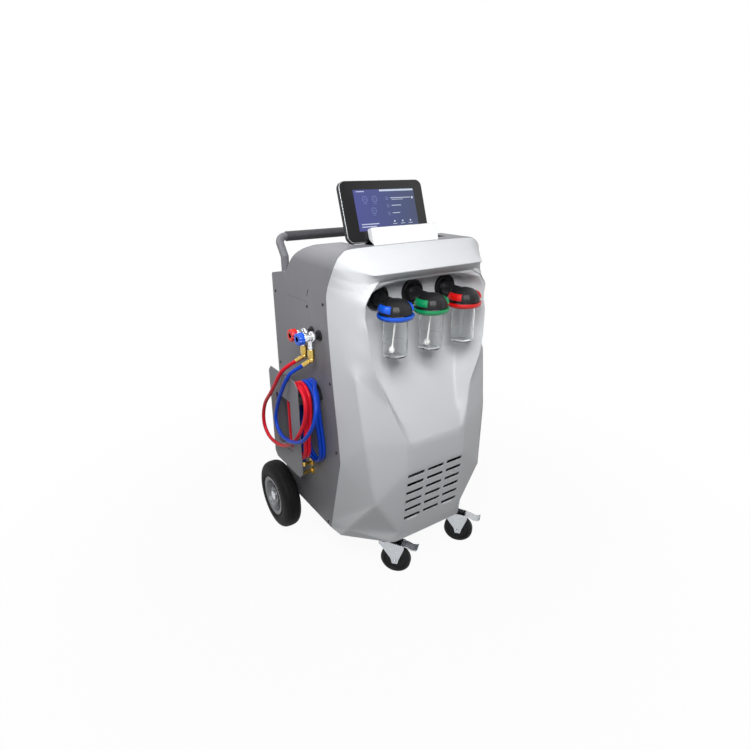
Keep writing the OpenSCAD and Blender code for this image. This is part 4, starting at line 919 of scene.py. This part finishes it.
case = bmesh.new()
slab(case, (281, 168, 13.8), on_tablet(0, 2, 11), corner=20, edge=1.6)
hand_over("tablet_case", case, case_rubber, "tablet", "tablet_black", "tablet", sharp=30)
glass = bmesh.new()
slab(glass, (278, 165, 2.6), on_tablet(0, 2, 2.5), corner=19, edge=0.8)
hand_over("tablet_glass", glass, tablet_black, "tablet", "tablet_black", "tablet", sharp=30)
trim = bmesh.new()
slab(trim, (280.4, 167.4, 1.2), on_tablet(0, 2, 3.6), corner=20, edge=0.4)
hand_over("tablet_rim", trim, zinc_plate, "tablet", "zinc_steel", "tablet", sharp=30)
picture = bmesh.new()
slab(picture, (206, 112, 0.6), on_tablet(3, 4, 0.9), corner=1.5)
hand_over("tablet_picture", picture, screen_blue, "tablet", "tablet_black", "tablet")

# %% Signs on the screen
SIGN_DEPTH, BAR_THICK, RING_HALF = 0.4, 0.3, 0.1
ROW_PITCH = 21


def ring(bm, u, v, inner, outer, steps):
    section = [(inner, -RING_HALF), (outer, -RING_HALF), (outer, RING_HALF), (inner, RING_HALF)]
    turned(bm, section, on_tablet(u, v, SIGN_DEPTH), steps=steps, closed=True)


def bar(bm, u, v, width, height, corner):
    slab(bm, (width, height, BAR_THICK), on_tablet(u, v, SIGN_DEPTH), corner=corner)


rings = bmesh.new()
for u, v in ((-66, 34), (-34, 34), (-42, 2)):
    ring(rings, u, v, 7, 8.6, 28)
    bar(rings, u, v, 6, 1.4, 0.5)
    bar(rings, u, v - 12, 11, 1.2, 0.4)
for k in range(3):
    ring(rings, 8, 34 - ROW_PITCH * k, 3, 4.4, 20)
hand_over("screen_rings", rings, screen_ring, "tablet", "tablet_black", "tablet")
marks = bmesh.new()
bar(marks, -78, 55, 26, 2.4, 0.6)
bar(marks, 45, 56.5, 118, 5, 0.8)
for k, width in enumerate((70, 34, 26)):
    bar(marks, 20 + width / 2, 35 - ROW_PITCH * k, width, 1.8, 0.5)
bar(marks, 44, 30.5, 40, 1.2, 0.4)
bar(marks, 97, 34, 6, 6, 1.5)
for u in (22, 50, 78):
    bar(marks, u, -30, 5, 5, 2)
    bar(marks, u, -37, 15, 1.4, 0.5)
for v, width in ((-34, 58), (-41, 48)):
    bar(marks, -90 + width / 2, v, width, 2.6, 1)
hand_over("screen_marks", marks, screen_pale, "tablet", "tablet_black", "tablet")

# %% [markdown]
# ## Inside the cabinet
# Through the vents and the louvres a little of the works can be seen: condenser, fan, pumps and the tank on
# its scale. Their CAD solids are right as they are, so only their finishes change.

# %% Finishes of the works
tank_paint = finish("tank_paint", tone(150, 156, 168), 0.4, drift=0.06, grain=700, relief=0.15)
pump_black = finish("pump_black", tone(32, 33, 36), 0.45, drift=0.12, cloud=30, relief=0.2)
pump_aluminium = finish("pump_aluminium", tone(122, 134, 152), 0.5, drift=0.1, cloud=40,
                        sockets={"Metallic": 0.6})
WORKS = (("refrigerant_tank", tank_paint), ("tank_scale", zinc_plate), ("compressor", pump_black),
         ("vacuum_pump", pump_aluminium), ("condenser", base_steel), ("condenser_fan", black_plastic),
         ("valve_block", base_steel))
for node, material in WORKS:
    nodes[node].data.materials.clear()
    nodes[node].data.materials.append(material)
print(len(WORKS), "inner nodes finished")
